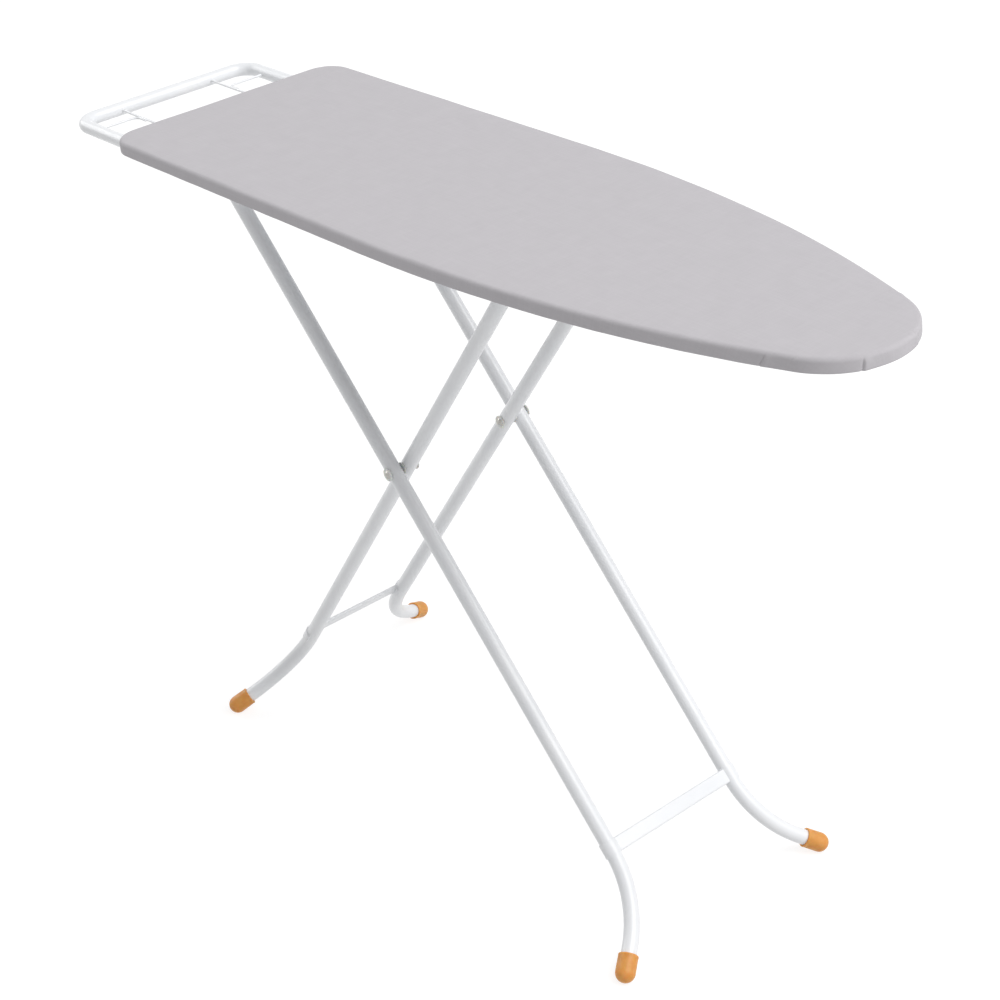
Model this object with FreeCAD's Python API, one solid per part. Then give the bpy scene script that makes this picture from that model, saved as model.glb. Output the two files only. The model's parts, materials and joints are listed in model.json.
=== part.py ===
"""Folding ironing board: a padded top on two crossing tube frames, with an iron rest at its square end.

Millimetres. X runs towards the nose, Z up, and Y to the left of someone who looks along X. The floor is
Z = 0, and the origin is under the middle of the whole object, iron rest included.

The outer frame hangs from a hinge tube near the rear of the top. It is riveted to the inner frame, whose
slide axle runs under the top with two shoes on guide rods. Hinge to rivet is as far as rivet to axle, so
the top stays level while the frames fold. A plate that tilts on the lock rod holds the top at any height.

Pieces of a frame are drawn along the leg: X runs down the leg from the scissor rivets, and Z away from the
leg, towards the top. The frame is then turned into its place.
"""
import FreeCAD, Part
import math
import os

V = FreeCAD.Vector
ORIGIN = V(0, 0, 0)
X_AXIS = V(1, 0, 0)
Y_AXIS = V(0, 1, 0)
Z_AXIS = V(0, 0, 1)
SIDES = {"left": 1, "right": -1}

# Top: outline
TOP_HEIGHT = 830.0  # ironing surface above the floor, frames at their top stop
BOARD_LENGTH = 1104.0
BOARD_WIDTH = 341.0
NOSE_RADIUS = 87.0
NOSE_SWEEP = 70.0  # degrees of nose arc each side of the tip
TAPER_LENGTH = 604.0  # from the tip of the nose back to the straight sides
REAR_CORNER_RADIUS = 36.0
LEAST_CORNER_RADIUS = 4.0

# Top: layers, from the cloth down
COVER_THICKNESS = 1.0
PAD_THICKNESS = 6.0
PANEL_THICKNESS = 0.6
RIM_DEPTH = 8.4
RIM_WIDTH = 14.0
RIM_WALL = 1.0
ELASTIC_WIDTH = 4.0
ELASTIC_THICKNESS = 2.0
PAD_ROUNDING = 5.5

# Top: steam holes and ribs
VENT_RADIUS = 4.5
VENT_PITCH = 34.0
VENT_MARGIN = 26.0
RIB_WIDTH = 30.0
HINGE_RIB_WIDTH = 62.0
RIB_FLANGE = 10.0
RIB_WALL = 0.8
REAR_RIB_SETBACK = 70.0  # from the rear edge of the top
MIDDLE_RIB_SETBACK = 385.0

# Iron rest
REST_REACH = 152.0  # behind the rear edge of the top
REST_TUBE_RADIUS = 8.5
REST_TUBE_WALL = 1.2
REST_BEND_RADIUS = 27.0
REST_ARM_UNDER = 200.0  # length of each arm under the top
REST_RIVET_CLEAR = 5.5  # outer rivet head of a clip, inside the rim channel
CLIP_WIDTH = 18.0
CLIP_THICKNESS = 1.2
CLIP_FLANGE = 9.0
WIRE_RADIUS = 1.6
WIRE_CROSS = 46.0  # cross wires, in front of the end bar
WIRE_HALF_PITCH = 69.0  # long wires, from the centre plane
WIRE_BEND_RADIUS = 9.0
WIRE_WELD = 0.6  # depth to which two wires melt together
WIRE_LAP = 12.0  # bent wire beside a long wire
WIRE_TUCK = 24.0  # last cross wire, in front of the rear edge

# Tubes of the two frames
TUBE_RADIUS = 9.5
TUBE_WALL = 1.0
OUTER_HALF_WIDTH = 97.5  # middle of an outer leg from the centre plane
LEG_GAP = 1.4  # between an outer and an inner leg
RIVET_SETBACK = 415.0  # scissor rivets, from the rear edge of the top
FOLDED_AXLE_SETBACK = 172.0  # slide axle, folded, from the tip of the nose
SCISSOR_ANGLE = 50.7  # degrees of both arms above the floor, standing
TRACK_DROP = 54.0  # hinge tube and slide axle, below the ironing surface
FOLDED_ANGLE = 1.0  # degrees of both arms, folded
LEG_END = 13.0  # leg beyond its hinge tube or axle

# Feet
FOOT_BEND_RADIUS = 145.0
OUTER_FOOT_ANGLE = 46.0
INNER_FOOT_ANGLE = 57.0
FOOT_HALF_TRACK = 162.0
CAP_RADIUS = 12.0
CAP_LENGTH = 21.0  # straight part, up to the middle of the dome
CAP_CHAMFER = 0.8

# Spreaders
SPREADER_WIDTH = 18.0
SPREADER_THICKNESS = 5.0
SPREADER_WALL = 1.0
SPREADER_ROUNDING = 2.2
SPREADER_RISE = 5.0  # middle of the flat tube above the middle of the legs
SPREADER_SETBACK = 4.0  # middle of a spreader, above the start of the foot's bend
SADDLE_THICKNESS = 1.5
SADDLE_WRAP = 3.0  # beyond the middle of the leg

# Hinge of the outer frame
HINGE_TUBE_RADIUS = 9.5
HINGE_TUBE_WALL = 1.5
HINGE_TUBE_OVERHANG = 3.0
BEARING_Y = 48.0
BEARING_WIDTH = 24.0
STRAP_WIDTH = 20.0
STRAP_THICKNESS = 1.5
STRAP_FLANGE = 13.0

# Scissor rivets
PIN_RADIUS = 3.0
PIN_HEAD_RADIUS = 5.0
PIN_HEAD_HEIGHT = 2.6
WASHER_RADIUS = 8.0
WASHER_THICKNESS = 1.0

# Slide axle and its lugs
AXLE_RADIUS = 5.0
AXLE_OFFSET = 15.5  # below the middle of the inner legs
AXLE_HEAD_RADIUS = 6.0
AXLE_HEAD_HEIGHT = 2.0
LUG_RADIUS = 9.0
LUG_THICKNESS = 4.0

# Rods and their brackets
ROD_RADIUS = 4.0
ROD_RISE = 12.0  # rods above the slide axle
ROD_HEAD_RADIUS = 5.5
ROD_HEAD_HEIGHT = 2.0
GUIDE_ROD_Y = 46.0
BRACKET_THICKNESS = 2.0
BRACKET_NECK_HALF_WIDTH = 32.0
BRACKET_HALF_HEIGHT = 8.0
BRACKET_FLANGE = 20.0
STOP_GAP = 0.5  # carriage from a bracket at each end of its travel

# Carriage
SHOE_LENGTH = 40.0
SHOE_WIDTH = 26.0
SHOE_MARGIN = 8.0  # below the axle and above the rods
PLATE_THICKNESS = 2.0
SCREW_RADIUS = 1.5
SCREW_DEPTH = 6.0
SCREW_HEAD_RADIUS = 3.0
SCREW_HEAD_HEIGHT = 1.8
SCREW_SPREAD_X = 12.0
SCREW_SPREAD_Y = 9.0

# Lock housing and lever
HOUSING_HALF_WIDTH = 15.0
HOUSING_WALL = 2.0
HOUSING_FRONT = 14.0  # in front of the axle
HOUSING_REAR = 50.0
SEAT_RISE = 6.0  # spring seat above the axle
SEAT_THICKNESS = 1.2
SEAT_REACH = 13.0
LEVER_PIN_SETBACK = 26.0
LEVER_PIN_DROP = 3.0
LEVER_PIN_RADIUS = 2.0
LEVER_PIN_HEAD_RADIUS = 3.5
LEVER_PIN_HEAD_HEIGHT = 1.5
LOCK_TILT = 8.5  # degrees, plate gripping the rod
LOCK_PLATE_THICKNESS = 3.0
LOCK_PLATE_CLEAR = 0.6  # plate above the lever pin
LOCK_PLATE_RISE = 6.5  # plate above the middle of the rod
LEVER_HALF_WIDTH = 11.0
LEVER_THICKNESS = 2.0
LEVER_LENGTH = 132.0
LEVER_DROP = 2.2  # top of the strip below the middle of the pin
EAR_REACH = 6.0
EAR_RISE = 9.0
GRIP_LENGTH = 58.0
GRIP_OVERHANG = 4.0
GRIP_HALF_WIDTH = 14.5
GRIP_HALF_THICKNESS = 5.5
GRIP_ROUNDING = 4.0
SPRING_SETBACK = 18.0
SPRING_RADIUS = 3.2
SPRING_WIRE_RADIUS = 0.45
SPRING_TURNS = 5.0

# Rivets under the ribs
RIVET_RADIUS = 2.0
RIVET_HEAD_RADIUS = 4.0
RIVET_HEAD_HEIGHT = 1.6
RIVET_TAIL_RADIUS = 3.0
RIVET_TAIL_HEIGHT = 1.0
BRACKET_RIVET_Y = 22.0
STRAP_RIVET_Y = 5.5

# Clearances
RUNNING = 0.08  # radial, round faces that turn on each other
SLIDING = 0.10  # radial, shoes on their rods
FREE = 0.3  # faces that pass each other

# Levels and places worked out from the sizes above
REAR_X = (REST_REACH - BOARD_LENGTH) / 2
NOSE_X = (REST_REACH + BOARD_LENGTH) / 2
PAD_TOP = TOP_HEIGHT - COVER_THICKNESS
PANEL_TOP = PAD_TOP - PAD_THICKNESS
RIM_TOP = PANEL_TOP - PANEL_THICKNESS
RIM_BOTTOM = RIM_TOP - RIM_DEPTH
HEM_BOTTOM = RIM_BOTTOM - COVER_THICKNESS
TRACK_Z = TOP_HEIGHT - TRACK_DROP
ROD_Z = TRACK_Z + ROD_RISE
SHOE_Z = (TRACK_Z - SHOE_MARGIN, ROD_Z + SHOE_MARGIN)

INNER_HALF_WIDTH = OUTER_HALF_WIDTH - 2 * TUBE_RADIUS - LEG_GAP
HINGE_OFFSET = TUBE_RADIUS + HINGE_TUBE_RADIUS  # the hinge tube lies on the outer legs
STANDING = math.radians(SCISSOR_ANGLE)
FOLDED = math.radians(FOLDED_ANGLE)
TRACK_END = BOARD_LENGTH - RIVET_SETBACK - FOLDED_AXLE_SETBACK  # folded slide axle, from the standing rivets
SCISSOR_ARM = TRACK_END / (2 * math.cos(FOLDED) - math.cos(STANDING))  # hinge to rivet, rivet to axle
OUTER_ARM = math.sqrt(SCISSOR_ARM**2 - HINGE_OFFSET**2)  # along the leg, rivet to hinge
INNER_ARM = math.sqrt(SCISSOR_ARM**2 - AXLE_OFFSET**2)
OUTER_ANGLE = SCISSOR_ANGLE - math.degrees(math.atan2(HINGE_OFFSET, OUTER_ARM))
INNER_ANGLE = SCISSOR_ANGLE + math.degrees(math.atan2(AXLE_OFFSET, INNER_ARM))
CROSSING = V(REAR_X + RIVET_SETBACK, 0, TRACK_Z - SCISSOR_ARM * math.sin(STANDING))
HINGE_X = CROSSING.x - SCISSOR_ARM * math.cos(STANDING)
AXLE_X = CROSSING.x + SCISSOR_ARM * math.cos(STANDING)
FOLDED_AXLE_X = HINGE_X + 2 * SCISSOR_ARM * math.cos(FOLDED)

CLIP_REACH = REST_TUBE_RADIUS + CLIP_THICKNESS + CLIP_FLANGE
CLIP_RIVET_REACH = CLIP_REACH - CLIP_FLANGE / 2
RIM_INSET = COVER_THICKNESS + RIM_WIDTH
ARM_INSET = RIM_INSET + REST_RIVET_CLEAR + RIVET_HEAD_RADIUS + CLIP_RIVET_REACH
HEM_WIDTH = ARM_INSET + CLIP_REACH + FREE + ELASTIC_WIDTH  # cloth turned under, from the edge of the top
REST_HALF_WIDTH = BOARD_WIDTH / 2 - ARM_INSET
REST_Z = HEM_BOTTOM - REST_TUBE_RADIUS
REST_END_X = REAR_X - REST_REACH + REST_TUBE_RADIUS
REAR_BRACKET_X = AXLE_X - HOUSING_REAR - STOP_GAP
FRONT_BRACKET_X = FOLDED_AXLE_X + SHOE_LENGTH / 2 + STOP_GAP
BRACKETS = {"rear": (REAR_BRACKET_X, -1), "front": (FRONT_BRACKET_X, 1)}
LEVER_PIN = V(AXLE_X - LEVER_PIN_SETBACK, 0, TRACK_Z - LEVER_PIN_DROP)
STRIP_MIDDLE_Z = LEVER_PIN.z - LEVER_DROP - LEVER_THICKNESS / 2
LOCK_HOLE_RADIUS = ROD_RADIUS + FREE

RIBS = {
    "rear": (REAR_X + REAR_RIB_SETBACK, RIB_WIDTH),
    "hinge": (HINGE_X, HINGE_RIB_WIDTH),
    "middle": (REAR_X + MIDDLE_RIB_SETBACK, RIB_WIDTH),
    "slide": (REAR_BRACKET_X - BRACKET_FLANGE / 2, RIB_WIDTH),
    "front": (FRONT_BRACKET_X + BRACKET_FLANGE / 2, RIB_WIDTH),
}


# Plain shapes

def box(x, y, z):
    """Box between the two values of each of x, y and z."""
    return Part.makeBox(x[1] - x[0], y[1] - y[0], z[1] - z[0], V(x[0], y[0], z[0]))


def cylinder(radius, start, end):
    """Cylinder from one point to another."""
    return Part.makeCylinder(radius, (end - start).Length, start, end - start)


def bar(radius, x, z, half_length):
    """Cylinder along Y, as long on both sides of the centre plane."""
    return cylinder(radius, V(x, -half_length, z), V(x, half_length, z))


def around(middle, half):
    """Two values at the same distance below and above a middle."""
    return (middle - half, middle + half)


def at_side(side, near, far):
    """The y values of a piece on one side, smaller first."""
    return tuple(sorted((side * near, side * far)))


def mirrored(shape):
    """The same shape on the other side of the centre plane."""
    return shape.mirror(ORIGIN, Y_AXIS)


def sweep(path, radius):
    """Round bar along a path of lines and arcs that starts along X or Y."""
    start = path[0].valueAt(path[0].FirstParameter)
    heading = path[0].tangentAt(path[0].FirstParameter)
    section = Part.Wire(Part.makeCircle(radius, start, heading))
    return Part.Wire(path).makePipeShell([section], True, False)


def tube(path, radius, wall):
    """Round tube along a path."""
    return sweep(path, radius).cut(sweep(path, radius - wall))


def line(start, end):
    """Straight edge."""
    return Part.LineSegment(start, end).toShape()


def arc(centre, radius, start, end):
    """Edge of a circle about an upright axis, between two directions in degrees from X."""
    turns = [math.radians(angle) for angle in (start, (start + end) / 2, end)]
    points = [centre + V(math.cos(turn), math.sin(turn), 0) * radius for turn in turns]
    return Part.Arc(*points).toShape()


def direction(angle):
    """Level direction at an angle in degrees from X."""
    return V(math.cos(math.radians(angle)), math.sin(math.radians(angle)), 0)


# Outline of the top

def flank_arcs():
    """The two arcs from the nose arc to the straight side: centre, radius, first and last direction.

    They are tangent to each other and to what they join. Their four tangents are equally long, which
    settles where the two arcs meet.
    """
    nose = V(NOSE_X - NOSE_RADIUS, 0, 0)
    begin = nose + direction(NOSE_SWEEP) * NOSE_RADIUS
    end = V(NOSE_X - TAPER_LENGTH, BOARD_WIDTH / 2, 0)
    chord = end - begin
    headings = direction(NOSE_SWEEP + 90) - X_AXIS
    spread = 2 - 2 * math.sin(math.radians(NOSE_SWEEP))
    slant = chord.dot(headings)
    tangent = (math.sqrt(slant**2 + spread * chord.dot(chord)) - slant) / spread
    joint = chord - headings * tangent
    middle = math.degrees(math.atan2(-joint.x, joint.y))
    shoulder_radius = tangent / math.tan(math.radians(middle - NOSE_SWEEP) / 2)
    side_radius = tangent / math.tan(math.radians(90 - middle) / 2)
    shoulder = begin - direction(NOSE_SWEEP) * shoulder_radius
    side = end - Y_AXIS * side_radius
    return [(nose, NOSE_RADIUS, 0, NOSE_SWEEP),
            (shoulder, shoulder_radius, NOSE_SWEEP, middle),
            (side, side_radius, middle, 90)]


def outline(inset, z):
    """Closed outline of the top, this far inside its edge."""
    up = V(0, 0, z)
    half = [arc(centre + up, radius - inset, first, last) for centre, radius, first, last in flank_arcs()]
    corner = max(REAR_CORNER_RADIUS - inset, LEAST_CORNER_RADIUS)
    side_y = BOARD_WIDTH / 2 - inset
    rear_x = REAR_X + inset
    corner_middle = V(rear_x + corner, side_y - corner, z)
    half.append(line(V(NOSE_X - TAPER_LENGTH, side_y, z), V(rear_x + corner, side_y, z)))
    half.append(arc(corner_middle, corner, 90, 180))
    half.append(line(V(rear_x, side_y - corner, z), V(rear_x, 0, z)))
    return Part.Wire(Part.__sortEdges__(half + [mirrored(edge) for edge in half]))


def slab(inset, low, high):
    """Solid with the outline of the top between two heights."""
    return Part.Face(outline(inset, low)).extrude(V(0, 0, high - low))


def cushion(inset, low, high, rounding):
    """The same with its upper edge rounded."""
    solid = slab(inset, low, high)
    upper = [edge for edge in solid.Edges if all(abs(v.Z - high) < 0.001 for v in edge.Vertexes)]
    return solid.makeFillet(rounding, upper)


# Pieces of the top

def cover():
    """Cloth over the pad, down the edge and turned under the rim."""
    rounding = min(PAD_ROUNDING, PAD_THICKNESS - FREE)
    outside = cushion(0, HEM_BOTTOM, TOP_HEIGHT, rounding + COVER_THICKNESS)
    inside = cushion(COVER_THICKNESS, RIM_BOTTOM, PAD_TOP, rounding)
    opening = slab(HEM_WIDTH, HEM_BOTTOM, RIM_BOTTOM)
    return outside.cut(inside).cut(opening).cut(rivet_holes())


def hem_elastic():
    """Elastic sewn under the inner edge of the hem."""
    low = HEM_BOTTOM - ELASTIC_THICKNESS
    return slab(HEM_WIDTH - ELASTIC_WIDTH, low, HEM_BOTTOM).cut(slab(HEM_WIDTH, low, HEM_BOTTOM))


def pad():
    """Felt pad on the panel."""
    return cushion(COVER_THICKNESS, PANEL_TOP, PAD_TOP, min(PAD_ROUNDING, PAD_THICKNESS - FREE))


def top_panel():
    """Sheet with staggered steam holes, as many as fit inside the margin."""
    field = Part.Face(outline(VENT_MARGIN, RIM_TOP))
    row_pitch = VENT_PITCH * math.sin(math.radians(60))
    rows = int(BOARD_WIDTH / 2 / row_pitch)
    vents = []
    for row in range(-rows, rows + 1):
        for column in range(int(BOARD_LENGTH / VENT_PITCH) + 1):
            spot = V(REAR_X + VENT_PITCH * (column + row % 2 / 2), row_pitch * row, RIM_TOP)
            if field.isInside(spot, 0.001, True):
                vents.append(cylinder(VENT_RADIUS, spot, spot + V(0, 0, PANEL_THICKNESS)))
    return slab(COVER_THICKNESS, RIM_TOP, PANEL_TOP).cut(vents)


def rim_channel():
    """Channel round the edge of the panel, open inwards."""
    ring = slab(COVER_THICKNESS, RIM_BOTTOM, RIM_TOP).cut(rim_inside())
    return ring.cut(slab(COVER_THICKNESS + RIM_WALL, RIM_BOTTOM + RIM_WALL, RIM_TOP - RIM_WALL))


def rim_inside():
    """The room inside the rim channel."""
    return slab(RIM_INSET, RIM_BOTTOM, RIM_TOP)


def rib(x, width):
    """Hat section across the top, its flanges under the panel and its ends against the rim."""
    across = around(0, BOARD_WIDTH / 2)
    inside = box(around(x, width / 2 - RIB_WALL), across, (RIM_BOTTOM + RIB_WALL, RIM_TOP))
    flanges = box(around(x, width / 2 + RIB_FLANGE), across, (RIM_TOP - RIB_WALL, RIM_TOP))
    hat = box(around(x, width / 2), across, (RIM_BOTTOM, RIM_TOP)).fuse(flanges).cut(inside)
    return hat.common(rim_inside()).cut(rivet_holes())


# Iron rest

def rest_path():
    """Middle line of the bent tube, from the left arm round the end bar to the right arm."""
    front = REAR_X + REST_ARM_UNDER
    bend_x = REST_END_X + REST_BEND_RADIUS
    bend_y = REST_HALF_WIDTH - REST_BEND_RADIUS
    return [line(V(front, REST_HALF_WIDTH, REST_Z), V(bend_x, REST_HALF_WIDTH, REST_Z)),
            arc(V(bend_x, bend_y, REST_Z), REST_BEND_RADIUS, 90, 180),
            line(V(REST_END_X, bend_y, REST_Z), V(REST_END_X, -bend_y, REST_Z)),
            arc(V(bend_x, -bend_y, REST_Z), REST_BEND_RADIUS, 180, 270),
            line(V(bend_x, -REST_HALF_WIDTH, REST_Z), V(front, -REST_HALF_WIDTH, REST_Z))]


def rest_frame():
    """Bent tube behind the top, with its arms under the hem."""
    return tube(rest_path(), REST_TUBE_RADIUS, REST_TUBE_WALL)


def rest_wires():
    """Long wires from the end bar to a cross wire under the top, and a bent wire from each arm to them."""
    last_x = REAR_X + WIRE_TUCK
    cross_x = REST_END_X + WIRE_CROSS
    lap_x = cross_x + WIRE_BEND_RADIUS
    beside = 2 * WIRE_RADIUS - WIRE_WELD
    lap_y = WIRE_HALF_PITCH + beside
    bend_y = lap_y + WIRE_BEND_RADIUS
    wires = [bar(WIRE_RADIUS, last_x, REST_Z - beside, REST_HALF_WIDTH)]
    for side in SIDES.values():
        long_y = side * WIRE_HALF_PITCH
        wires.append(cylinder(WIRE_RADIUS, V(REST_END_X, long_y, REST_Z),
                              V(last_x + WIRE_LAP / 2, long_y, REST_Z)))
    bent = sweep([line(V(cross_x, REST_HALF_WIDTH, REST_Z), V(cross_x, bend_y, REST_Z)),
                  arc(V(lap_x, bend_y, REST_Z), WIRE_BEND_RADIUS, 180, 270),
                  line(V(lap_x, lap_y, REST_Z), V(lap_x + WIRE_LAP, lap_y, REST_Z))], WIRE_RADIUS)
    wires += [bent, mirrored(bent)]
    return wires[0].fuse(wires[1:]).cut(sweep(rest_path(), REST_TUBE_RADIUS))


def rest_clip(x, y):
    """Saddle strap that holds an arm of the iron rest under a rib."""
    outer = REST_TUBE_RADIUS + CLIP_THICKNESS
    along = around(x, CLIP_WIDTH / 2)
    wrap = cylinder(outer, V(along[0], y, REST_Z), V(along[1], y, REST_Z))
    walls = box(along, around(y, outer), (REST_Z, HEM_BOTTOM))
    flanges = box(along, around(y, CLIP_REACH), (HEM_BOTTOM - CLIP_THICKNESS, HEM_BOTTOM))
    room = box(along, around(y, REST_TUBE_RADIUS), (REST_Z, REST_Z + outer))
    held = cylinder(REST_TUBE_RADIUS, V(along[0], y, REST_Z), V(along[1], y, REST_Z))
    below = box(along, around(y, outer), (REST_Z - outer, HEM_BOTTOM))
    return wrap.common(below).fuse([walls, flanges]).cut([room, held]).cut(rivet_holes())


def rest_clips():
    """One clip on each arm under each of the two rear ribs."""
    xs = [RIBS[name][0] for name in ("rear", "hinge")]
    ys = [side * REST_HALF_WIDTH for side in SIDES.values()]
    return Part.makeCompound([rest_clip(x, y) for x in xs for y in ys])


# Rivets under the ribs

def clip_rivets():
    """Places of the rivets of the rest clips: x, y, lower and upper face of what they hold."""
    ys = [side * REST_HALF_WIDTH + way * CLIP_RIVET_REACH for side in SIDES.values() for way in (-1, 1)]
    low = HEM_BOTTOM - CLIP_THICKNESS
    return [(RIBS[name][0], y, low, RIM_BOTTOM + RIB_WALL) for name in ("rear", "hinge") for y in ys]


def strap_rivets():
    """Places of the rivets of the hinge straps."""
    offset = strap_half_width() + STRAP_FLANGE / 2
    xs = [HINGE_X - offset, HINGE_X + offset]
    ys = [side * BEARING_Y + way * STRAP_RIVET_Y for side in SIDES.values() for way in (-1, 1)]
    return [(x, y, RIM_BOTTOM - STRAP_THICKNESS, RIM_BOTTOM + RIB_WALL) for x in xs for y in ys]


def bracket_rivets():
    """Places of the rivets of the rod brackets."""
    xs = [x + way * BRACKET_FLANGE / 2 for x, way in BRACKETS.values()]
    ys = [side * BRACKET_RIVET_Y for side in SIDES.values()]
    return [(x, y, RIM_BOTTOM - BRACKET_THICKNESS, RIM_BOTTOM + RIB_WALL) for x in xs for y in ys]


def rivet_holes():
    """Holes of all these rivets, through whatever they hold."""
    spots = clip_rivets() + strap_rivets() + bracket_rivets()
    return [cylinder(RIVET_RADIUS, V(x, y, low), V(x, y, high)) for x, y, low, high in spots]


def rivet(x, y, low, high):
    """Rivet with its head below and its tail above what it holds."""
    shank = cylinder(RIVET_RADIUS, V(x, y, low), V(x, y, high))
    head = Part.makeCone(RIVET_HEAD_RADIUS - RIVET_HEAD_HEIGHT, RIVET_HEAD_RADIUS, RIVET_HEAD_HEIGHT,
                         V(x, y, low - RIVET_HEAD_HEIGHT))
    tail = cylinder(RIVET_TAIL_RADIUS, V(x, y, high), V(x, y, high + RIVET_TAIL_HEIGHT))
    return shank.fuse([head, tail])


def rivets(spots):
    """Group of rivets."""
    return Part.makeCompound([rivet(*spot) for spot in spots])


# Hinge of the outer frame

def strap_half_width():
    """Outer half width of a hinge strap along X."""
    return HINGE_TUBE_RADIUS + RUNNING + STRAP_THICKNESS


def hinge_bearing(side):
    """Nylon block between a rib and the hinge tube."""
    inner = HINGE_TUBE_RADIUS + RUNNING
    across = around(side * BEARING_Y, BEARING_WIDTH / 2)
    block = box(around(HINGE_X, inner), across, (TRACK_Z, RIM_BOTTOM))
    return block.cut(bar(inner, HINGE_X, TRACK_Z, BOARD_WIDTH / 2))


def hinge_strap(side):
    """Strap that holds the hinge tube up against its bearing block."""
    inner = HINGE_TUBE_RADIUS + RUNNING
    outer = strap_half_width()
    across = around(side * BEARING_Y, STRAP_WIDTH / 2)
    wrap = cylinder(outer, V(HINGE_X, across[0], TRACK_Z), V(HINGE_X, across[1], TRACK_Z))
    wrap = wrap.common(box(around(HINGE_X, outer), across, (TRACK_Z - outer, TRACK_Z)))
    walls = box(around(HINGE_X, outer), across, (TRACK_Z, RIM_BOTTOM))
    flanges = box(around(HINGE_X, outer + STRAP_FLANGE), across, (RIM_BOTTOM - STRAP_THICKNESS, RIM_BOTTOM))
    room = box(around(HINGE_X, inner), across, (TRACK_Z, RIM_BOTTOM))
    turning = bar(inner, HINGE_X, TRACK_Z, BOARD_WIDTH / 2)
    return wrap.fuse([walls, flanges]).cut([room, turning]).cut(rivet_holes())


# Rods and brackets

def rod(y):
    """Rod between the two brackets, with a head behind each."""
    ends = (REAR_BRACKET_X - BRACKET_THICKNESS, FRONT_BRACKET_X + BRACKET_THICKNESS)
    shank = cylinder(ROD_RADIUS, V(ends[0], y, ROD_Z), V(ends[1], y, ROD_Z))
    rear = cylinder(ROD_HEAD_RADIUS, V(ends[0] - ROD_HEAD_HEIGHT, y, ROD_Z), V(ends[0], y, ROD_Z))
    front = cylinder(ROD_HEAD_RADIUS, V(ends[1], y, ROD_Z), V(ends[1] + ROD_HEAD_HEIGHT, y, ROD_Z))
    return shank.fuse([rear, front])


def rod_bracket(x, way):
    """Plate that hangs from a rib and carries one end of each rod."""
    plate_x = tuple(sorted((x, x + way * BRACKET_THICKNESS)))
    flange_x = tuple(sorted((x, x + way * BRACKET_FLANGE)))
    neck_y = around(0, BRACKET_NECK_HALF_WIDTH)
    plate = box(plate_x, around(0, GUIDE_ROD_Y), around(ROD_Z, BRACKET_HALF_HEIGHT))
    ends = [cylinder(BRACKET_HALF_HEIGHT, V(plate_x[0], y, ROD_Z), V(plate_x[1], y, ROD_Z))
            for y in (-GUIDE_ROD_Y, GUIDE_ROD_Y)]
    neck = box(plate_x, neck_y, (ROD_Z, RIM_BOTTOM))
    flange = box(flange_x, neck_y, (RIM_BOTTOM - BRACKET_THICKNESS, RIM_BOTTOM))
    rods = [cylinder(ROD_RADIUS, V(plate_x[0], y, ROD_Z), V(plate_x[1], y, ROD_Z))
            for y in (-GUIDE_ROD_Y, 0, GUIDE_ROD_Y)]
    return plate.fuse(ends + [neck, flange]).cut(rods).cut(rivet_holes())


# The two leg frames

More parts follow.
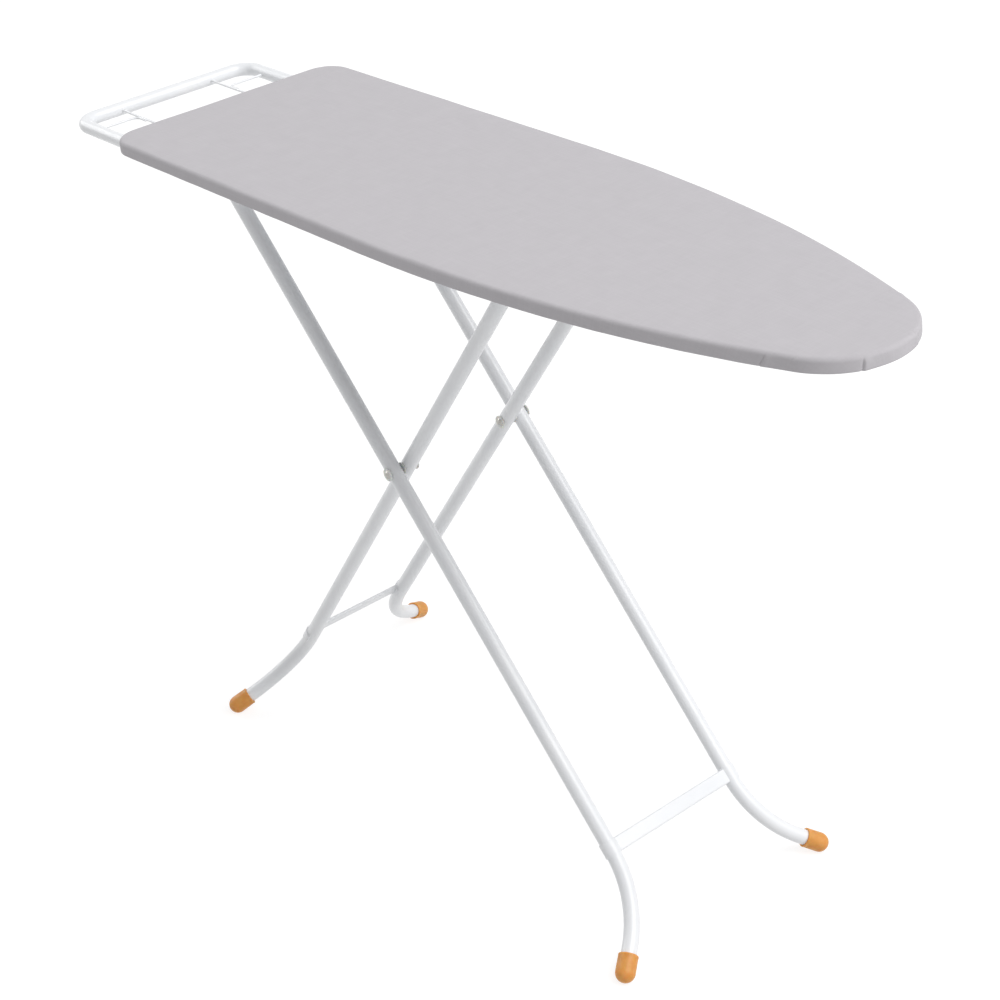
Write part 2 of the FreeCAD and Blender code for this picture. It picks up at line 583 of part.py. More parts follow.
class Frame:
    """Sizes of one leg frame, drawn along its legs from the scissor rivets."""

    def __init__(self, half_width, arm, angle, turn, foot_angle):
        """Work out where the foot bends from the height of the rivets and the track of the feet."""
        self.half_width = half_width
        self.arm = arm
        self.angle = angle
        self.turn = turn
        self.foot_angle = foot_angle
        heading = direction(foot_angle)
        down = (CROSSING.z - CAP_RADIUS) / math.sin(math.radians(angle))
        sideways = FOOT_HALF_TRACK - half_width - FOOT_BEND_RADIUS * (1 - heading.x)
        self.tail = sideways / heading.y
        self.shank = down - FOOT_BEND_RADIUS * heading.y - self.tail * heading.x
        self.tip = V(down, FOOT_HALF_TRACK, 0)

    def path(self):
        """Middle line of a left leg, from its top to the middle of the foot cap's dome."""
        knee = V(self.shank, self.half_width, 0)
        centre = knee + Y_AXIS * FOOT_BEND_RADIUS
        ankle = self.tip - direction(self.foot_angle) * self.tail
        return [line(V(-self.arm - LEG_END, self.half_width, 0), knee),
                arc(centre, FOOT_BEND_RADIUS, -90, self.foot_angle - 90),
                line(ankle, self.tip)]

    def leg(self, side, hole_radius):
        """Bent tube with the cross hole for the scissor rivet."""
        left = tube(self.path(), TUBE_RADIUS, TUBE_WALL).cut(bar(hole_radius, 0, 0, BOARD_WIDTH))
        return self.stand(self.on_side(left, side))

    def foot_cap(self, side):
        """Domed plastic cap on the end of a leg."""
        heading = direction(self.foot_angle)
        cap = foot_cap()
        cap.rotate(ORIGIN, Z_AXIS, self.foot_angle)
        cap.translate(self.tip - heading * CAP_LENGTH)
        return self.stand(self.on_side(cap, side))

    def spreader(self):
        """Flat-pressed tube between the legs, with a saddle over each."""
        at = self.shank - SPREADER_SETBACK
        along = around(at, SPREADER_WIDTH / 2)
        flat = box(along, around(0, self.half_width), around(SPREADER_RISE, SPREADER_THICKNESS / 2))
        flat = flat.makeFillet(SPREADER_ROUNDING, [e for e in flat.Edges if is_along_y(e)])
        room = box(around(at, SPREADER_WIDTH / 2 - SPREADER_WALL), around(0, self.half_width),
                   around(SPREADER_RISE, SPREADER_THICKNESS / 2 - SPREADER_WALL))
        outer = TUBE_RADIUS + SADDLE_THICKNESS
        saddle = cylinder(outer, V(along[0], self.half_width, 0), V(along[1], self.half_width, 0))
        saddle = saddle.common(box(along, around(self.half_width, outer), (-SADDLE_WRAP, outer)))
        core = sweep(self.path(), TUBE_RADIUS)
        strip = flat.cut(room).fuse([saddle, mirrored(saddle)]).cut([core, mirrored(core)])
        return self.stand(strip)

    def on_side(self, shape, side):
        """Keep or mirror a left piece, so that it ends up on the named side once the frame stands."""
        return shape if side * math.cos(math.radians(self.turn)) > 0 else mirrored(shape)

    def stand(self, shape):
        """Turn a piece drawn along the leg into its place in the standing part."""
        placed = shape.copy()
        placed.rotate(ORIGIN, Y_AXIS, self.angle)
        placed.rotate(ORIGIN, Z_AXIS, self.turn)
        placed.translate(CROSSING)
        return placed


OUTER = Frame(OUTER_HALF_WIDTH, OUTER_ARM, OUTER_ANGLE, 0, OUTER_FOOT_ANGLE)
INNER = Frame(INNER_HALF_WIDTH, INNER_ARM, INNER_ANGLE, 180, INNER_FOOT_ANGLE)


def is_along_y(edge):
    """Whether a straight edge runs along Y."""
    return abs(edge.tangentAt(edge.FirstParameter).y) > 0.999


def foot_cap():
    """Cap along X with its mouth at the origin: a cylinder, a dome and a blind bore for the leg."""
    end = CAP_LENGTH + CAP_RADIUS
    slant = CAP_RADIUS * math.sqrt(0.5)
    dome = Part.Arc(V(CAP_LENGTH, CAP_RADIUS, 0), V(CAP_LENGTH + slant, slant, 0), V(end, 0, 0)).toShape()
    corners = [V(end, 0, 0), V(CAP_LENGTH, 0, 0), V(CAP_LENGTH, TUBE_RADIUS, 0), V(0, TUBE_RADIUS, 0),
               V(0, CAP_RADIUS - CAP_CHAMFER, 0), V(CAP_CHAMFER, CAP_RADIUS, 0), V(CAP_LENGTH, CAP_RADIUS, 0)]
    section = [line(a, b) for a, b in zip(corners, corners[1:])] + [dome]
    return Part.Face(Part.Wire(Part.__sortEdges__(section))).revolve(ORIGIN, X_AXIS, 360)


def hinge_tube():
    """Tube across the outer legs, on which the frame turns."""
    half = OUTER_HALF_WIDTH + TUBE_RADIUS + HINGE_TUBE_OVERHANG
    solid = bar(HINGE_TUBE_RADIUS, -OUTER_ARM, HINGE_OFFSET, half)
    return OUTER.stand(solid.cut(bar(HINGE_TUBE_RADIUS - HINGE_TUBE_WALL, -OUTER_ARM, HINGE_OFFSET, half)))


def slide_axle():
    """Axle across the inner frame, with a head outside each lug."""
    half = INNER_HALF_WIDTH + LUG_THICKNESS / 2
    shank = bar(AXLE_RADIUS, -INNER_ARM, -AXLE_OFFSET, half)
    heads = bar(AXLE_HEAD_RADIUS, -INNER_ARM, -AXLE_OFFSET, half + AXLE_HEAD_HEIGHT)
    return INNER.stand(shank.fuse(heads.cut(bar(AXLE_HEAD_RADIUS, -INNER_ARM, -AXLE_OFFSET, half))))


def axle_lug():
    """Lug under a left inner leg."""
    across = around(INNER_HALF_WIDTH, LUG_THICKNESS / 2)
    middle = V(-INNER_ARM, 0, -AXLE_OFFSET)
    disc = cylinder(LUG_RADIUS, middle + Y_AXIS * across[0], middle + Y_AXIS * across[1])
    neck = box(around(-INNER_ARM, LUG_RADIUS), across, (-AXLE_OFFSET, 0))
    leg = sweep(INNER.path(), TUBE_RADIUS)
    axle = bar(AXLE_RADIUS, -INNER_ARM, -AXLE_OFFSET, BOARD_WIDTH / 2)
    return disc.fuse(neck).cut([leg, axle])


def axle_lugs():
    """Both lugs of the inner frame."""
    lug = axle_lug()
    return INNER.stand(Part.makeCompound([lug, mirrored(lug)]))


# Scissor rivets

def washer(y, hole):
    """Washer on a scissor rivet, its inner face at this y."""
    ring = cylinder(WASHER_RADIUS, V(0, y, 0), V(0, y + WASHER_THICKNESS, 0))
    return ring.cut(bar(hole, 0, 0, BOARD_WIDTH))


def washer_places():
    """Inner faces of the three washers of a left rivet, from the inside out."""
    inside = INNER_HALF_WIDTH - TUBE_RADIUS - WASHER_THICKNESS
    between = INNER_HALF_WIDTH + TUBE_RADIUS
    outside = OUTER_HALF_WIDTH + TUBE_RADIUS + FREE
    return inside, between, outside


def scissor_washers():
    """Washers inside, between and outside the legs, on both sides."""
    left = [washer(y, PIN_RADIUS) for y in washer_places()]
    return INNER.stand(Part.makeCompound(left + [mirrored(ring) for ring in left]))


def scissor_rivet():
    """Left rivet through an inner and an outer leg, with domed heads."""
    inside, _, outside = washer_places()
    outer_face = outside + WASHER_THICKNESS
    shank = cylinder(PIN_RADIUS, V(0, inside, 0), V(0, outer_face, 0))
    return shank.fuse([pin_head(inside, -1), pin_head(outer_face, 1)])


def pin_head(y, way):
    """Head of a scissor rivet: the cap of a ball, its flat side at this y."""
    ball_radius = (PIN_HEAD_RADIUS**2 + PIN_HEAD_HEIGHT**2) / (2 * PIN_HEAD_HEIGHT)
    middle = V(0, y + way * (PIN_HEAD_HEIGHT - ball_radius), 0)
    room = 2 * ball_radius
    keep = box(around(0, room), at_side(way, way * y, way * y + room), around(0, room))
    return Part.makeSphere(ball_radius, middle).common(keep)


def scissor_rivets():
    """Both scissor rivets."""
    left = scissor_rivet()
    return INNER.stand(Part.makeCompound([left, mirrored(left)]))


# Carriage

def slide_shoe(side):
    """Nylon block on a guide rod, in which the slide axle turns."""
    y = side * GUIDE_ROD_Y
    block = box(around(AXLE_X, SHOE_LENGTH / 2), around(y, SHOE_WIDTH / 2), SHOE_Z)
    bore_x = around(AXLE_X, SHOE_LENGTH)
    rod_bore = cylinder(ROD_RADIUS + SLIDING, V(bore_x[0], y, ROD_Z), V(bore_x[1], y, ROD_Z))
    axle_bore = bar(AXLE_RADIUS + RUNNING, AXLE_X, TRACK_Z, BOARD_WIDTH / 2)
    screws = [cylinder(SCREW_RADIUS, V(x, y, SHOE_Z[1] - SCREW_DEPTH), V(x, y, SHOE_Z[1]))
              for x, y in screw_places()]
    return block.cut([rod_bore, axle_bore] + screws)


def screw_places():
    """Two screws in each shoe, on opposite sides of its rod."""
    places = []
    for side in SIDES.values():
        for way in (-1, 1):
            places.append((AXLE_X + way * SCREW_SPREAD_X, side * (GUIDE_ROD_Y + way * SCREW_SPREAD_Y)))
    return places


def carriage_plate():
    """Plate over the two shoes and the lock housing."""
    z = (SHOE_Z[1], SHOE_Z[1] + PLATE_THICKNESS)
    plate = box(around(AXLE_X, SHOE_LENGTH / 2), around(0, GUIDE_ROD_Y + SHOE_WIDTH / 2), z)
    return plate.cut([cylinder(SCREW_RADIUS, V(x, y, z[0]), V(x, y, z[1])) for x, y in screw_places()])


def carriage_screws():
    """Screws that hold the plate on the shoes."""
    screws = []
    for x, y in screw_places():
        seat = V(x, y, SHOE_Z[1] + PLATE_THICKNESS)
        shank = cylinder(SCREW_RADIUS, V(x, y, SHOE_Z[1] - SCREW_DEPTH), seat)
        screws.append(shank.fuse(cylinder(SCREW_HEAD_RADIUS, seat, seat + V(0, 0, SCREW_HEAD_HEIGHT))))
    return Part.makeCompound(screws)


def lock_housing():
    """Two cheeks on the slide axle, a front wall and a rear wall round the lock rod, and a spring seat."""
    x = (AXLE_X - HOUSING_REAR, AXLE_X + HOUSING_FRONT)
    inner_y = around(0, HOUSING_HALF_WIDTH - HOUSING_WALL)
    seat_z = TRACK_Z + SEAT_RISE
    cheeks = box(x, around(0, HOUSING_HALF_WIDTH), SHOE_Z).cut(box(x, inner_y, SHOE_Z))
    front = box((x[1] - HOUSING_WALL, x[1]), inner_y, SHOE_Z)
    rear = box((x[0], x[0] + HOUSING_WALL), inner_y, (seat_z, SHOE_Z[1]))
    seat = box((x[0], x[0] + SEAT_REACH), inner_y, (seat_z, seat_z + SEAT_THICKNESS))
    rod_hole = cylinder(LOCK_HOLE_RADIUS, V(x[0], 0, ROD_Z), V(x[1], 0, ROD_Z))
    axle = bar(AXLE_RADIUS + RUNNING, AXLE_X, TRACK_Z, HOUSING_HALF_WIDTH)
    pin = bar(LEVER_PIN_RADIUS, LEVER_PIN.x, LEVER_PIN.z, HOUSING_HALF_WIDTH)
    return cheeks.fuse([front, rear, seat]).cut([rod_hole, axle, pin])


def lever_pin():
    """Pin of the lever across the housing, with a head outside each cheek."""
    shank = bar(LEVER_PIN_RADIUS, LEVER_PIN.x, LEVER_PIN.z, HOUSING_HALF_WIDTH)
    heads = bar(LEVER_PIN_HEAD_RADIUS, LEVER_PIN.x, LEVER_PIN.z, HOUSING_HALF_WIDTH + LEVER_PIN_HEAD_HEIGHT)
    between = bar(LEVER_PIN_HEAD_RADIUS, LEVER_PIN.x, LEVER_PIN.z, HOUSING_HALF_WIDTH)
    return shank.fuse(heads.cut(between))


def locked(shape):
    """Tilt a piece drawn square to the lock rod until the plate is about to grip."""
    tilted = shape.copy()
    tilted.rotate(LEVER_PIN, Y_AXIS, -LOCK_TILT)
    return tilted


def lock_plate():
    """Hardened plate between the lever's ears, with the hole that grips the rod when it tilts."""
    hole_z = LEVER_PIN.z + (ROD_Z - LEVER_PIN.z) / math.cos(math.radians(LOCK_TILT))
    z = (LEVER_PIN.z + LEVER_PIN_RADIUS + LOCK_PLATE_CLEAR, hole_z + LOCK_PLATE_RISE)
    x = around(LEVER_PIN.x, LOCK_PLATE_THICKNESS / 2)
    plate = box(x, around(0, LEVER_HALF_WIDTH - LEVER_THICKNESS), z)
    return locked(plate.cut(cylinder(LOCK_HOLE_RADIUS, V(x[0], 0, hole_z), V(x[1], 0, hole_z))))


def lever_strip():
    """The flat length of the lever, square to the lock rod."""
    x = (LEVER_PIN.x - LEVER_LENGTH, LEVER_PIN.x + EAR_REACH)
    return box(x, around(0, LEVER_HALF_WIDTH), around(STRIP_MIDDLE_Z, LEVER_THICKNESS / 2))


def release_lever():
    """Lever of strip with two ears on the pin."""
    ear_z = (STRIP_MIDDLE_Z, LEVER_PIN.z + EAR_RISE)
    ears = box(around(LEVER_PIN.x, EAR_REACH), around(0, LEVER_HALF_WIDTH), ear_z)
    between = box(around(LEVER_PIN.x, EAR_REACH), around(0, LEVER_HALF_WIDTH - LEVER_THICKNESS), ear_z)
    pin = bar(LEVER_PIN_RADIUS + RUNNING, LEVER_PIN.x, LEVER_PIN.z, HOUSING_HALF_WIDTH)
    return locked(ears.cut(between).fuse(lever_strip()).cut(pin))


def lever_grip():
    """Moulded grip over the end of the lever."""
    rear = LEVER_PIN.x - LEVER_LENGTH - GRIP_OVERHANG
    z = around(STRIP_MIDDLE_Z, GRIP_HALF_THICKNESS)
    grip = box((rear, rear + GRIP_LENGTH), around(0, GRIP_HALF_WIDTH), z)
    return locked(grip.makeFillet(GRIP_ROUNDING, grip.Edges).cut(lever_strip()))


def lever_spring():
    """Coil spring between the lever and the seat in the housing."""
    x = LEVER_PIN.x - SPRING_SETBACK
    reach = SPRING_SETBACK - SPRING_RADIUS
    lever_top = LEVER_PIN.z - LEVER_DROP - reach * math.sin(math.radians(LOCK_TILT))
    low = lever_top + SPRING_WIRE_RADIUS + FREE
    high = TRACK_Z + SEAT_RISE - SPRING_WIRE_RADIUS
    helix = Part.makeHelix((high - low) / SPRING_TURNS, high - low, SPRING_RADIUS)
    section = Part.Wire(Part.makeCircle(SPRING_WIRE_RADIUS, V(SPRING_RADIUS, 0, 0), Y_AXIS))
    spring = Part.Wire(helix.Edges).makePipeShell([section], True, True)
    spring.translate(V(x, 0, low))
    return spring


def nodes():
    """Every piece under its name."""
    pieces = {
        "cover": cover(),
        "hem_elastic": hem_elastic(),
        "pad": pad(),
        "top_panel": top_panel(),
        "rim_channel": rim_channel(),
        "rest_frame": rest_frame(),
        "rest_wires": rest_wires(),
        "rest_clips": rest_clips(),
        "rest_rivets": rivets(clip_rivets()),
        "hinge_rivets": rivets(strap_rivets()),
        "bracket_rivets": rivets(bracket_rivets()),
        "lock_rod": rod(0),
        "hinge_tube": hinge_tube(),
        "outer_spreader": OUTER.spreader(),
        "slide_axle": slide_axle(),
        "axle_lugs": axle_lugs(),
        "inner_spreader": INNER.spreader(),
        "scissor_rivets": scissor_rivets(),
        "scissor_washers": scissor_washers(),
        "carriage_plate": carriage_plate(),
        "carriage_screws": carriage_screws(),
        "lock_housing": lock_housing(),
        "lever_pin": lever_pin(),
        "lock_plate": lock_plate(),
        "release_lever": release_lever(),
        "lever_grip": lever_grip(),
        "lever_spring": lever_spring(),
    }
    for name, (x, width) in RIBS.items():
        pieces[name + "_rib"] = rib(x, width)
    for name, (x, way) in BRACKETS.items():
        pieces[name + "_rod_bracket"] = rod_bracket(x, way)
    for name, side in SIDES.items():
        pieces["hinge_bearing_" + name] = hinge_bearing(side)
        pieces["hinge_strap_" + name] = hinge_strap(side)
        pieces["guide_rod_" + name] = rod(side * GUIDE_ROD_Y)
        pieces["slide_shoe_" + name] = slide_shoe(side)
        pieces["outer_leg_" + name] = OUTER.leg(side, PIN_RADIUS + RUNNING)
        pieces["inner_leg_" + name] = INNER.leg(side, PIN_RADIUS)
        pieces["outer_foot_cap_" + name] = OUTER.foot_cap(side)
        pieces["inner_foot_cap_" + name] = INNER.foot_cap(side)
    return pieces


os.makedirs("parts", exist_ok=True)
for node, shape in nodes().items():
    shape.exportStep("parts/" + node + ".step")
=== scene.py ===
"""Looks of a folding ironing board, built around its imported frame.

Metres, with X towards the nose, Y to the left of someone who looks along X, and Z up from the floor, as
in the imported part. Sizes of the sub-assemblies are dataclass fields, also in metres. A piece that stands
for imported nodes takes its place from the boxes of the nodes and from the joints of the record.
"""
import json
import logging
import math
from dataclasses import dataclass
from enum import Enum, IntEnum
from typing import ClassVar

import bmesh
import bpy
import numpy as np
from mathutils import Matrix, Vector


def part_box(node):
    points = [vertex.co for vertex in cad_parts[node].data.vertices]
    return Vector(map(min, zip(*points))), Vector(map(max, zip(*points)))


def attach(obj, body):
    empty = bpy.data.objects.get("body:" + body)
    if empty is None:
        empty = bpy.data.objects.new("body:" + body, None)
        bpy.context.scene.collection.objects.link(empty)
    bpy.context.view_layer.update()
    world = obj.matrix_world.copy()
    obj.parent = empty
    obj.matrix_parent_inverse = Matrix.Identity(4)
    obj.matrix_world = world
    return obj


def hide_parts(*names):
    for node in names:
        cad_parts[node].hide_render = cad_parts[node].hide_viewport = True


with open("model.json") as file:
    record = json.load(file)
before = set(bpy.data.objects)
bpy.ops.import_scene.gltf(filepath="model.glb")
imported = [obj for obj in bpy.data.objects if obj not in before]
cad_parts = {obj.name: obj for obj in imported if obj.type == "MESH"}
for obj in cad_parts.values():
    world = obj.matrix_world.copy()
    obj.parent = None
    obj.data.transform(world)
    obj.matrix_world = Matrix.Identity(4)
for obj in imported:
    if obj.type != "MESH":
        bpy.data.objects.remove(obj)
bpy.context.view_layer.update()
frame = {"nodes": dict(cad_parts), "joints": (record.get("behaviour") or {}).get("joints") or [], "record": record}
LOG = logging.getLogger("ironing_board")

MM = 0.001
UP = (0.0, 0.0, 1.0)

# A whole turn and a quarter of one, in radians.
ROUND = 2 * math.pi
QUARTER = math.pi / 2

# Points closer than this are one point.
MERGE = 1e-7

# Most values of a noise lie between these two, and each finer octave is this strong.
NOISE_LOW = 0.3
NOISE_HIGH = 0.7
NOISE_FALL = 0.55

# A wave texture runs through this many radians in each unit of its scaled coordinate.
WAVE_RADIANS = 20

# A mix node's colour inputs and its colour output, by number.
MIX_FIRST = 6
MIX_SECOND = 7
MIX_COLOUR = 2


class Side(Enum):
    """The two sides of the board, with the sign of their Y."""

    LEFT = 1
    RIGHT = -1


class Legs(Enum):
    """The two leg frames, with the word that their names start with."""

    OUTER = "outer"
    INNER = "inner"


class Stretch(IntEnum):
    """The stretches of the top's left half, from the tip of the nose to the middle of the rear edge."""

    NOSE = 0
    FLANK = 1
    SHOULDER = 2
    SIDE = 3
    CORNER = 4
    REAR = 5


# Finishes


def linear(colour: str) -> tuple[float, float, float, float]:
    """Turns an sRGB colour into the linear values that a shader takes, by the standard's own curve.

    Args:
        colour: six hex digits after a hash.

    Returns:
        Linear red, green, blue, and an alpha of 1.
    """
    encoded = np.array([int(colour[i:i + 2], 16) for i in (1, 3, 5)]) / 255
    plain = np.where(encoded <= 0.04045, encoded / 12.92, ((encoded + 0.055) / 1.055) ** 2.4)
    return (*plain.tolist(), 1.0)


def add_node(tree: bpy.types.NodeTree, kind: str, settings: dict | None = None,
             links: dict | None = None) -> bpy.types.Node:
    """Adds one shader node.

    Args:
        tree: the material's or world's node tree.
        kind: the node's type name.
        settings: values by name. A name of the node itself is set on the node, any other name or number
            on its input.
        links: outputs of other nodes by the name or number of the input that takes them.

    Returns:
        The new node.
    """
    node = tree.nodes.new(kind)
    for name, value in (settings or {}).items():
        if isinstance(name, str) and name in node.bl_rna.properties:
            setattr(node, name, value)
        else:
            node.inputs[name].default_value = value
    for name, source in (links or {}).items():
        tree.links.new(source, node.inputs[name])
    return node


def emptied(owner: bpy.types.ID) -> bpy.types.NodeTree:
    """Turns on the nodes of a material or a world, and clears its tree.

    Args:
        owner: the material or world.

    Returns:
        Its node tree, without nodes.
    """
    owner.use_nodes = True
    owner.node_tree.nodes.clear()
    return owner.node_tree


def lumps(size: float, detail: float) -> dict:
    """Settings of a noise whose lumps are about this long, in metres."""
    return {"Scale": 1 / size, "Detail": detail, "Roughness": NOISE_FALL}


def bands(direction: str, pitch: float, wobble: float) -> dict:
    """Settings of waves across one direction, this far apart in metres, and how much they waver."""
    return {"bands_direction": direction, "Scale": ROUND / (WAVE_RADIANS * pitch), "Distortion": wobble}


@dataclass(frozen=True)
class Finish:
    """A finish: its colour, how it shines, and the two scales of its surface.

    The base class draws a fine grain, which bumps the surface, and broad patches, which shade the colour
    and the gloss. The gloss swings by a share of the roughness either way.
    """

    name: str
    colour: str
    shade: str
    roughness: float = 0.5
    metallic: float = 0.0
    grain: float = 1 * MM
    grain_depth: float = 0.02 * MM
    patch: float = 60 * MM
    stretch: tuple[float, float, float] = (1.0, 1.0, 1.0)
    grain_detail: float = 2.0
    patch_detail: float = 3.0
    gloss_swing: float = 0.12

    def material(self) -> bpy.types.Material:
        """Makes the material: the shader with its constants, and the pattern on it.

        Returns:
            The material.
        """
        made = bpy.data.materials.new(self.name)
        tree = emptied(made)
        shader = add_node(tree, "ShaderNodeBsdfPrincipled", self.constants())
        add_node(tree, "ShaderNodeOutputMaterial", links={"Surface": shader.outputs["BSDF"]})
        self.pattern(tree, shader)
        return made

    def constants(self) -> dict:
        """Settings of the shader that are the same all over the surface."""
        return {"Base Color": linear(self.colour), "Roughness": self.roughness, "Metallic": self.metallic}

    def coordinates(self, tree: bpy.types.NodeTree) -> bpy.types.NodeSocket:
        """Object coordinates, stretched along the way the surface was made."""
        place = add_node(tree, "ShaderNodeTexCoord")
        return add_node(tree, "ShaderNodeMapping", {"Scale": self.stretch},
                        {"Vector": place.outputs["Object"]}).outputs["Vector"]

    def pattern(self, tree: bpy.types.NodeTree, shader: bpy.types.Node) -> None:
        """Fine grain in the bump, broad patches in the colour and the roughness.

        Args:
            tree: the material's node tree.
            shader: its surface shader.
        """
        where = self.coordinates(tree)
        grain = add_node(tree, "ShaderNodeTexNoise", lumps(self.grain, self.grain_detail), {"Vector": where})
        patches = add_node(tree, "ShaderNodeTexNoise", lumps(self.patch, self.patch_detail),
                           {"Vector": where}).outputs["Fac"]
        self.tint(tree, shader, patches, (self.colour, self.shade))
        tree.links.new(self.gloss(tree, where, patches), shader.inputs["Roughness"])
        bump = add_node(tree, "ShaderNodeBump", {"Distance": self.grain_depth},
                        {"Height": grain.outputs["Fac"]})
        tree.links.new(bump.outputs["Normal"], shader.inputs["Normal"])

    def gloss(self, tree: bpy.types.NodeTree, where: bpy.types.NodeSocket,
              patches: bpy.types.NodeSocket) -> bpy.types.NodeSocket:
        """Roughness that swings round its value with the patches.

        Args:
            tree: the material's node tree.
            where: coordinates, for a finish that draws marks of its own.
            patches: the broad patches, from 0 to 1.

        Returns:
            The roughness.
        """
        return add_node(tree, "ShaderNodeMapRange",
                        {"From Min": NOISE_LOW, "From Max": NOISE_HIGH,
                         "To Min": self.roughness * (1 - self.gloss_swing),
                         "To Max": min(1.0, self.roughness * (1 + self.gloss_swing))},
                        {"Value": patches}).outputs["Result"]

    def tint(self, tree: bpy.types.NodeTree, shader: bpy.types.Node, share: bpy.types.NodeSocket,
             colours: tuple[str, str]) -> None:
        """Mixes two colours into the shader's base colour.

        Args:
            tree: the material's node tree.
            shader: its surface shader.
            share: a pattern whose values lie mostly where those of a noise do.
            colours: the colours at its low and at its high values.
        """
        spread = add_node(tree, "ShaderNodeMapRange", {"From Min": NOISE_LOW, "From Max": NOISE_HIGH},
                          {"Value": share})
        first, second = (linear(colour) for colour in colours)
        mix = add_node(tree, "ShaderNodeMix", {"data_type": "RGBA", MIX_FIRST: first, MIX_SECOND: second},
                       {0: spread.outputs["Result"]})
        tree.links.new(mix.outputs[MIX_COLOUR], shader.inputs["Base Color"])


@dataclass(frozen=True)
class WovenCotton(Finish):
    """Plain-woven cotton, dyed in the piece and calendered: matt, with slubs along both threads.

    The threads of such cloth are 0.4 mm apart, too fine to show, so the weave is drawn 1.6 mm apart and
    very shallow, and the slubs that the eye picks out are 45 mm long and 2.4 mm wide. The shades are the
    shares of slubs and patches in the tint. The soft pad below, the slubs and the weave bump the cloth
    one over the other, each with its strength.
    """

    patch_detail: float = 4.0
    thread: float = 1.6 * MM
    thread_wobble: float = 0.4
    slub_length: float = 45 * MM
    slub_width: float = 2.4 * MM
    slub_shade: float = 0.35
    patch_shade: float = 0.3
    softness: float = 90 * MM
    softness_detail: float = 1.0
    softness_depth: float = 0.9 * MM
    softness_strength: float = 0.6
    slub_strength: float = 0.8
    weave_share: float = 0.5
    weave_strength: float = 0.5

    def constants(self) -> dict:
        """Cloth also has a faint sheen from its fibre ends."""
        fuzz = {"Sheen Weight": 0.12, "Sheen Roughness": 0.6, "Specular IOR Level": 0.2}
        return super().constants() | fuzz

    def pattern(self, tree: bpy.types.NodeTree, shader: bpy.types.Node) -> None:
        """Warp and weft slubs and patches tint the cloth, and the pad below, slubs and weave bump it.

        Args:
            tree: the material's node tree.
            shader: its surface shader.
        """
        cloth = add_node(tree, "ShaderNodeUVMap", {"uv_map": "cloth"}).outputs["UV"]
        drawn_out = self.slub_width / self.slub_length
        slubs, weaves = [], []
        for direction, axes in (("X", (drawn_out, 1.0, 1.0)), ("Y", (1.0, drawn_out, 1.0))):
            along = add_node(tree, "ShaderNodeMapping", {"Scale": axes}, {"Vector": cloth})
            slub = add_node(tree, "ShaderNodeTexNoise", lumps(self.slub_width, self.grain_detail),
                            {"Vector": along.outputs["Vector"]})
            slubs.append(slub.outputs["Fac"])
            wave = add_node(tree, "ShaderNodeTexWave",
                            bands(direction, self.thread, self.thread_wobble) | {"Detail": 0.0},
                            {"Vector": cloth})
            weaves.append(wave.outputs["Fac"])
        threads = add_node(tree, "ShaderNodeMath", {"operation": "ADD"}, dict(enumerate(slubs))).outputs[0]
        patches = add_node(tree, "ShaderNodeTexNoise", lumps(self.patch, self.patch_detail),
                           {"Vector": cloth})
        part = add_node(tree, "ShaderNodeMath", {"operation": "MULTIPLY", 1: self.patch_shade},
                        {0: patches.outputs["Fac"]})
        mixed = add_node(tree, "ShaderNodeMath", {"operation": "MULTIPLY_ADD", 1: self.slub_shade},
                         {0: threads, 2: part.outputs[0]})
        self.tint(tree, shader, mixed.outputs[0], (self.shade, self.colour))
        weave = add_node(tree, "ShaderNodeMath", {"operation": "MULTIPLY"}, dict(enumerate(weaves)))
        soft = add_node(tree, "ShaderNodeTexNoise", lumps(self.softness, self.softness_detail),
                        {"Vector": cloth})
        lower = add_node(tree, "ShaderNodeBump",
                         {"Distance": self.softness_depth, "Strength": self.softness_strength},
                         {"Height": soft.outputs["Fac"]})
        middle = add_node(tree, "ShaderNodeBump",
                          {"Distance": self.grain_depth, "Strength": self.slub_strength},
                          {"Height": threads, "Normal": lower.outputs["Normal"]})
        upper = add_node(tree, "ShaderNodeBump",
                         {"Distance": self.grain_depth * self.weave_share, "Strength": self.weave_strength},
                         {"Height": weave.outputs[0], "Normal": middle.outputs["Normal"]})
        tree.links.new(upper.outputs["Normal"], shader.inputs["Normal"])


@dataclass(frozen=True)
class PowderCoat(Finish):
    """Baked powder coat on steel: a smooth film with fine orange peel and a soft, broad highlight."""

    def constants(self) -> dict:
        """The film is a plastic, so it shines by its IOR and has no metal in it."""
        return super().constants() | {"IOR": 1.5, "Coat Weight": 0.25, "Coat Roughness": 0.18}


@dataclass(frozen=True)
class MouldedPlastic(Finish):
    """Injection-moulded plastic from a spark-eroded mould: an even satin grain, slightly see-through.

    The real grain is about 0.2 mm wide, too fine to show, so it is drawn 0.5 to 0.6 mm wide. The scatter
    is how far red, green and blue light run inside, and the depth how much of the light goes in.
    """

    depth: float = 0.0
    scatter: tuple[float, float, float] = (6 * MM, 3 * MM, 1.2 * MM)

    def constants(self) -> dict:
        """Light goes a little way into the plastic before it comes back."""
        glow = {"Subsurface Weight": self.depth, "Subsurface Radius": self.scatter, "Subsurface Scale": 1.0}
        return super().constants() | {"IOR": 1.49} | glow


@dataclass(frozen=True)
class FeltedFibre(Finish):
    """Needled felt: a thick web of short fibres without a weave, matt from every side."""

    def constants(self) -> dict:
        """Loose fibre ends catch the light at the rim."""
        return super().constants() | {"Sheen Weight": 0.3, "Sheen Roughness": 0.5, "Specular IOR Level": 0.1}


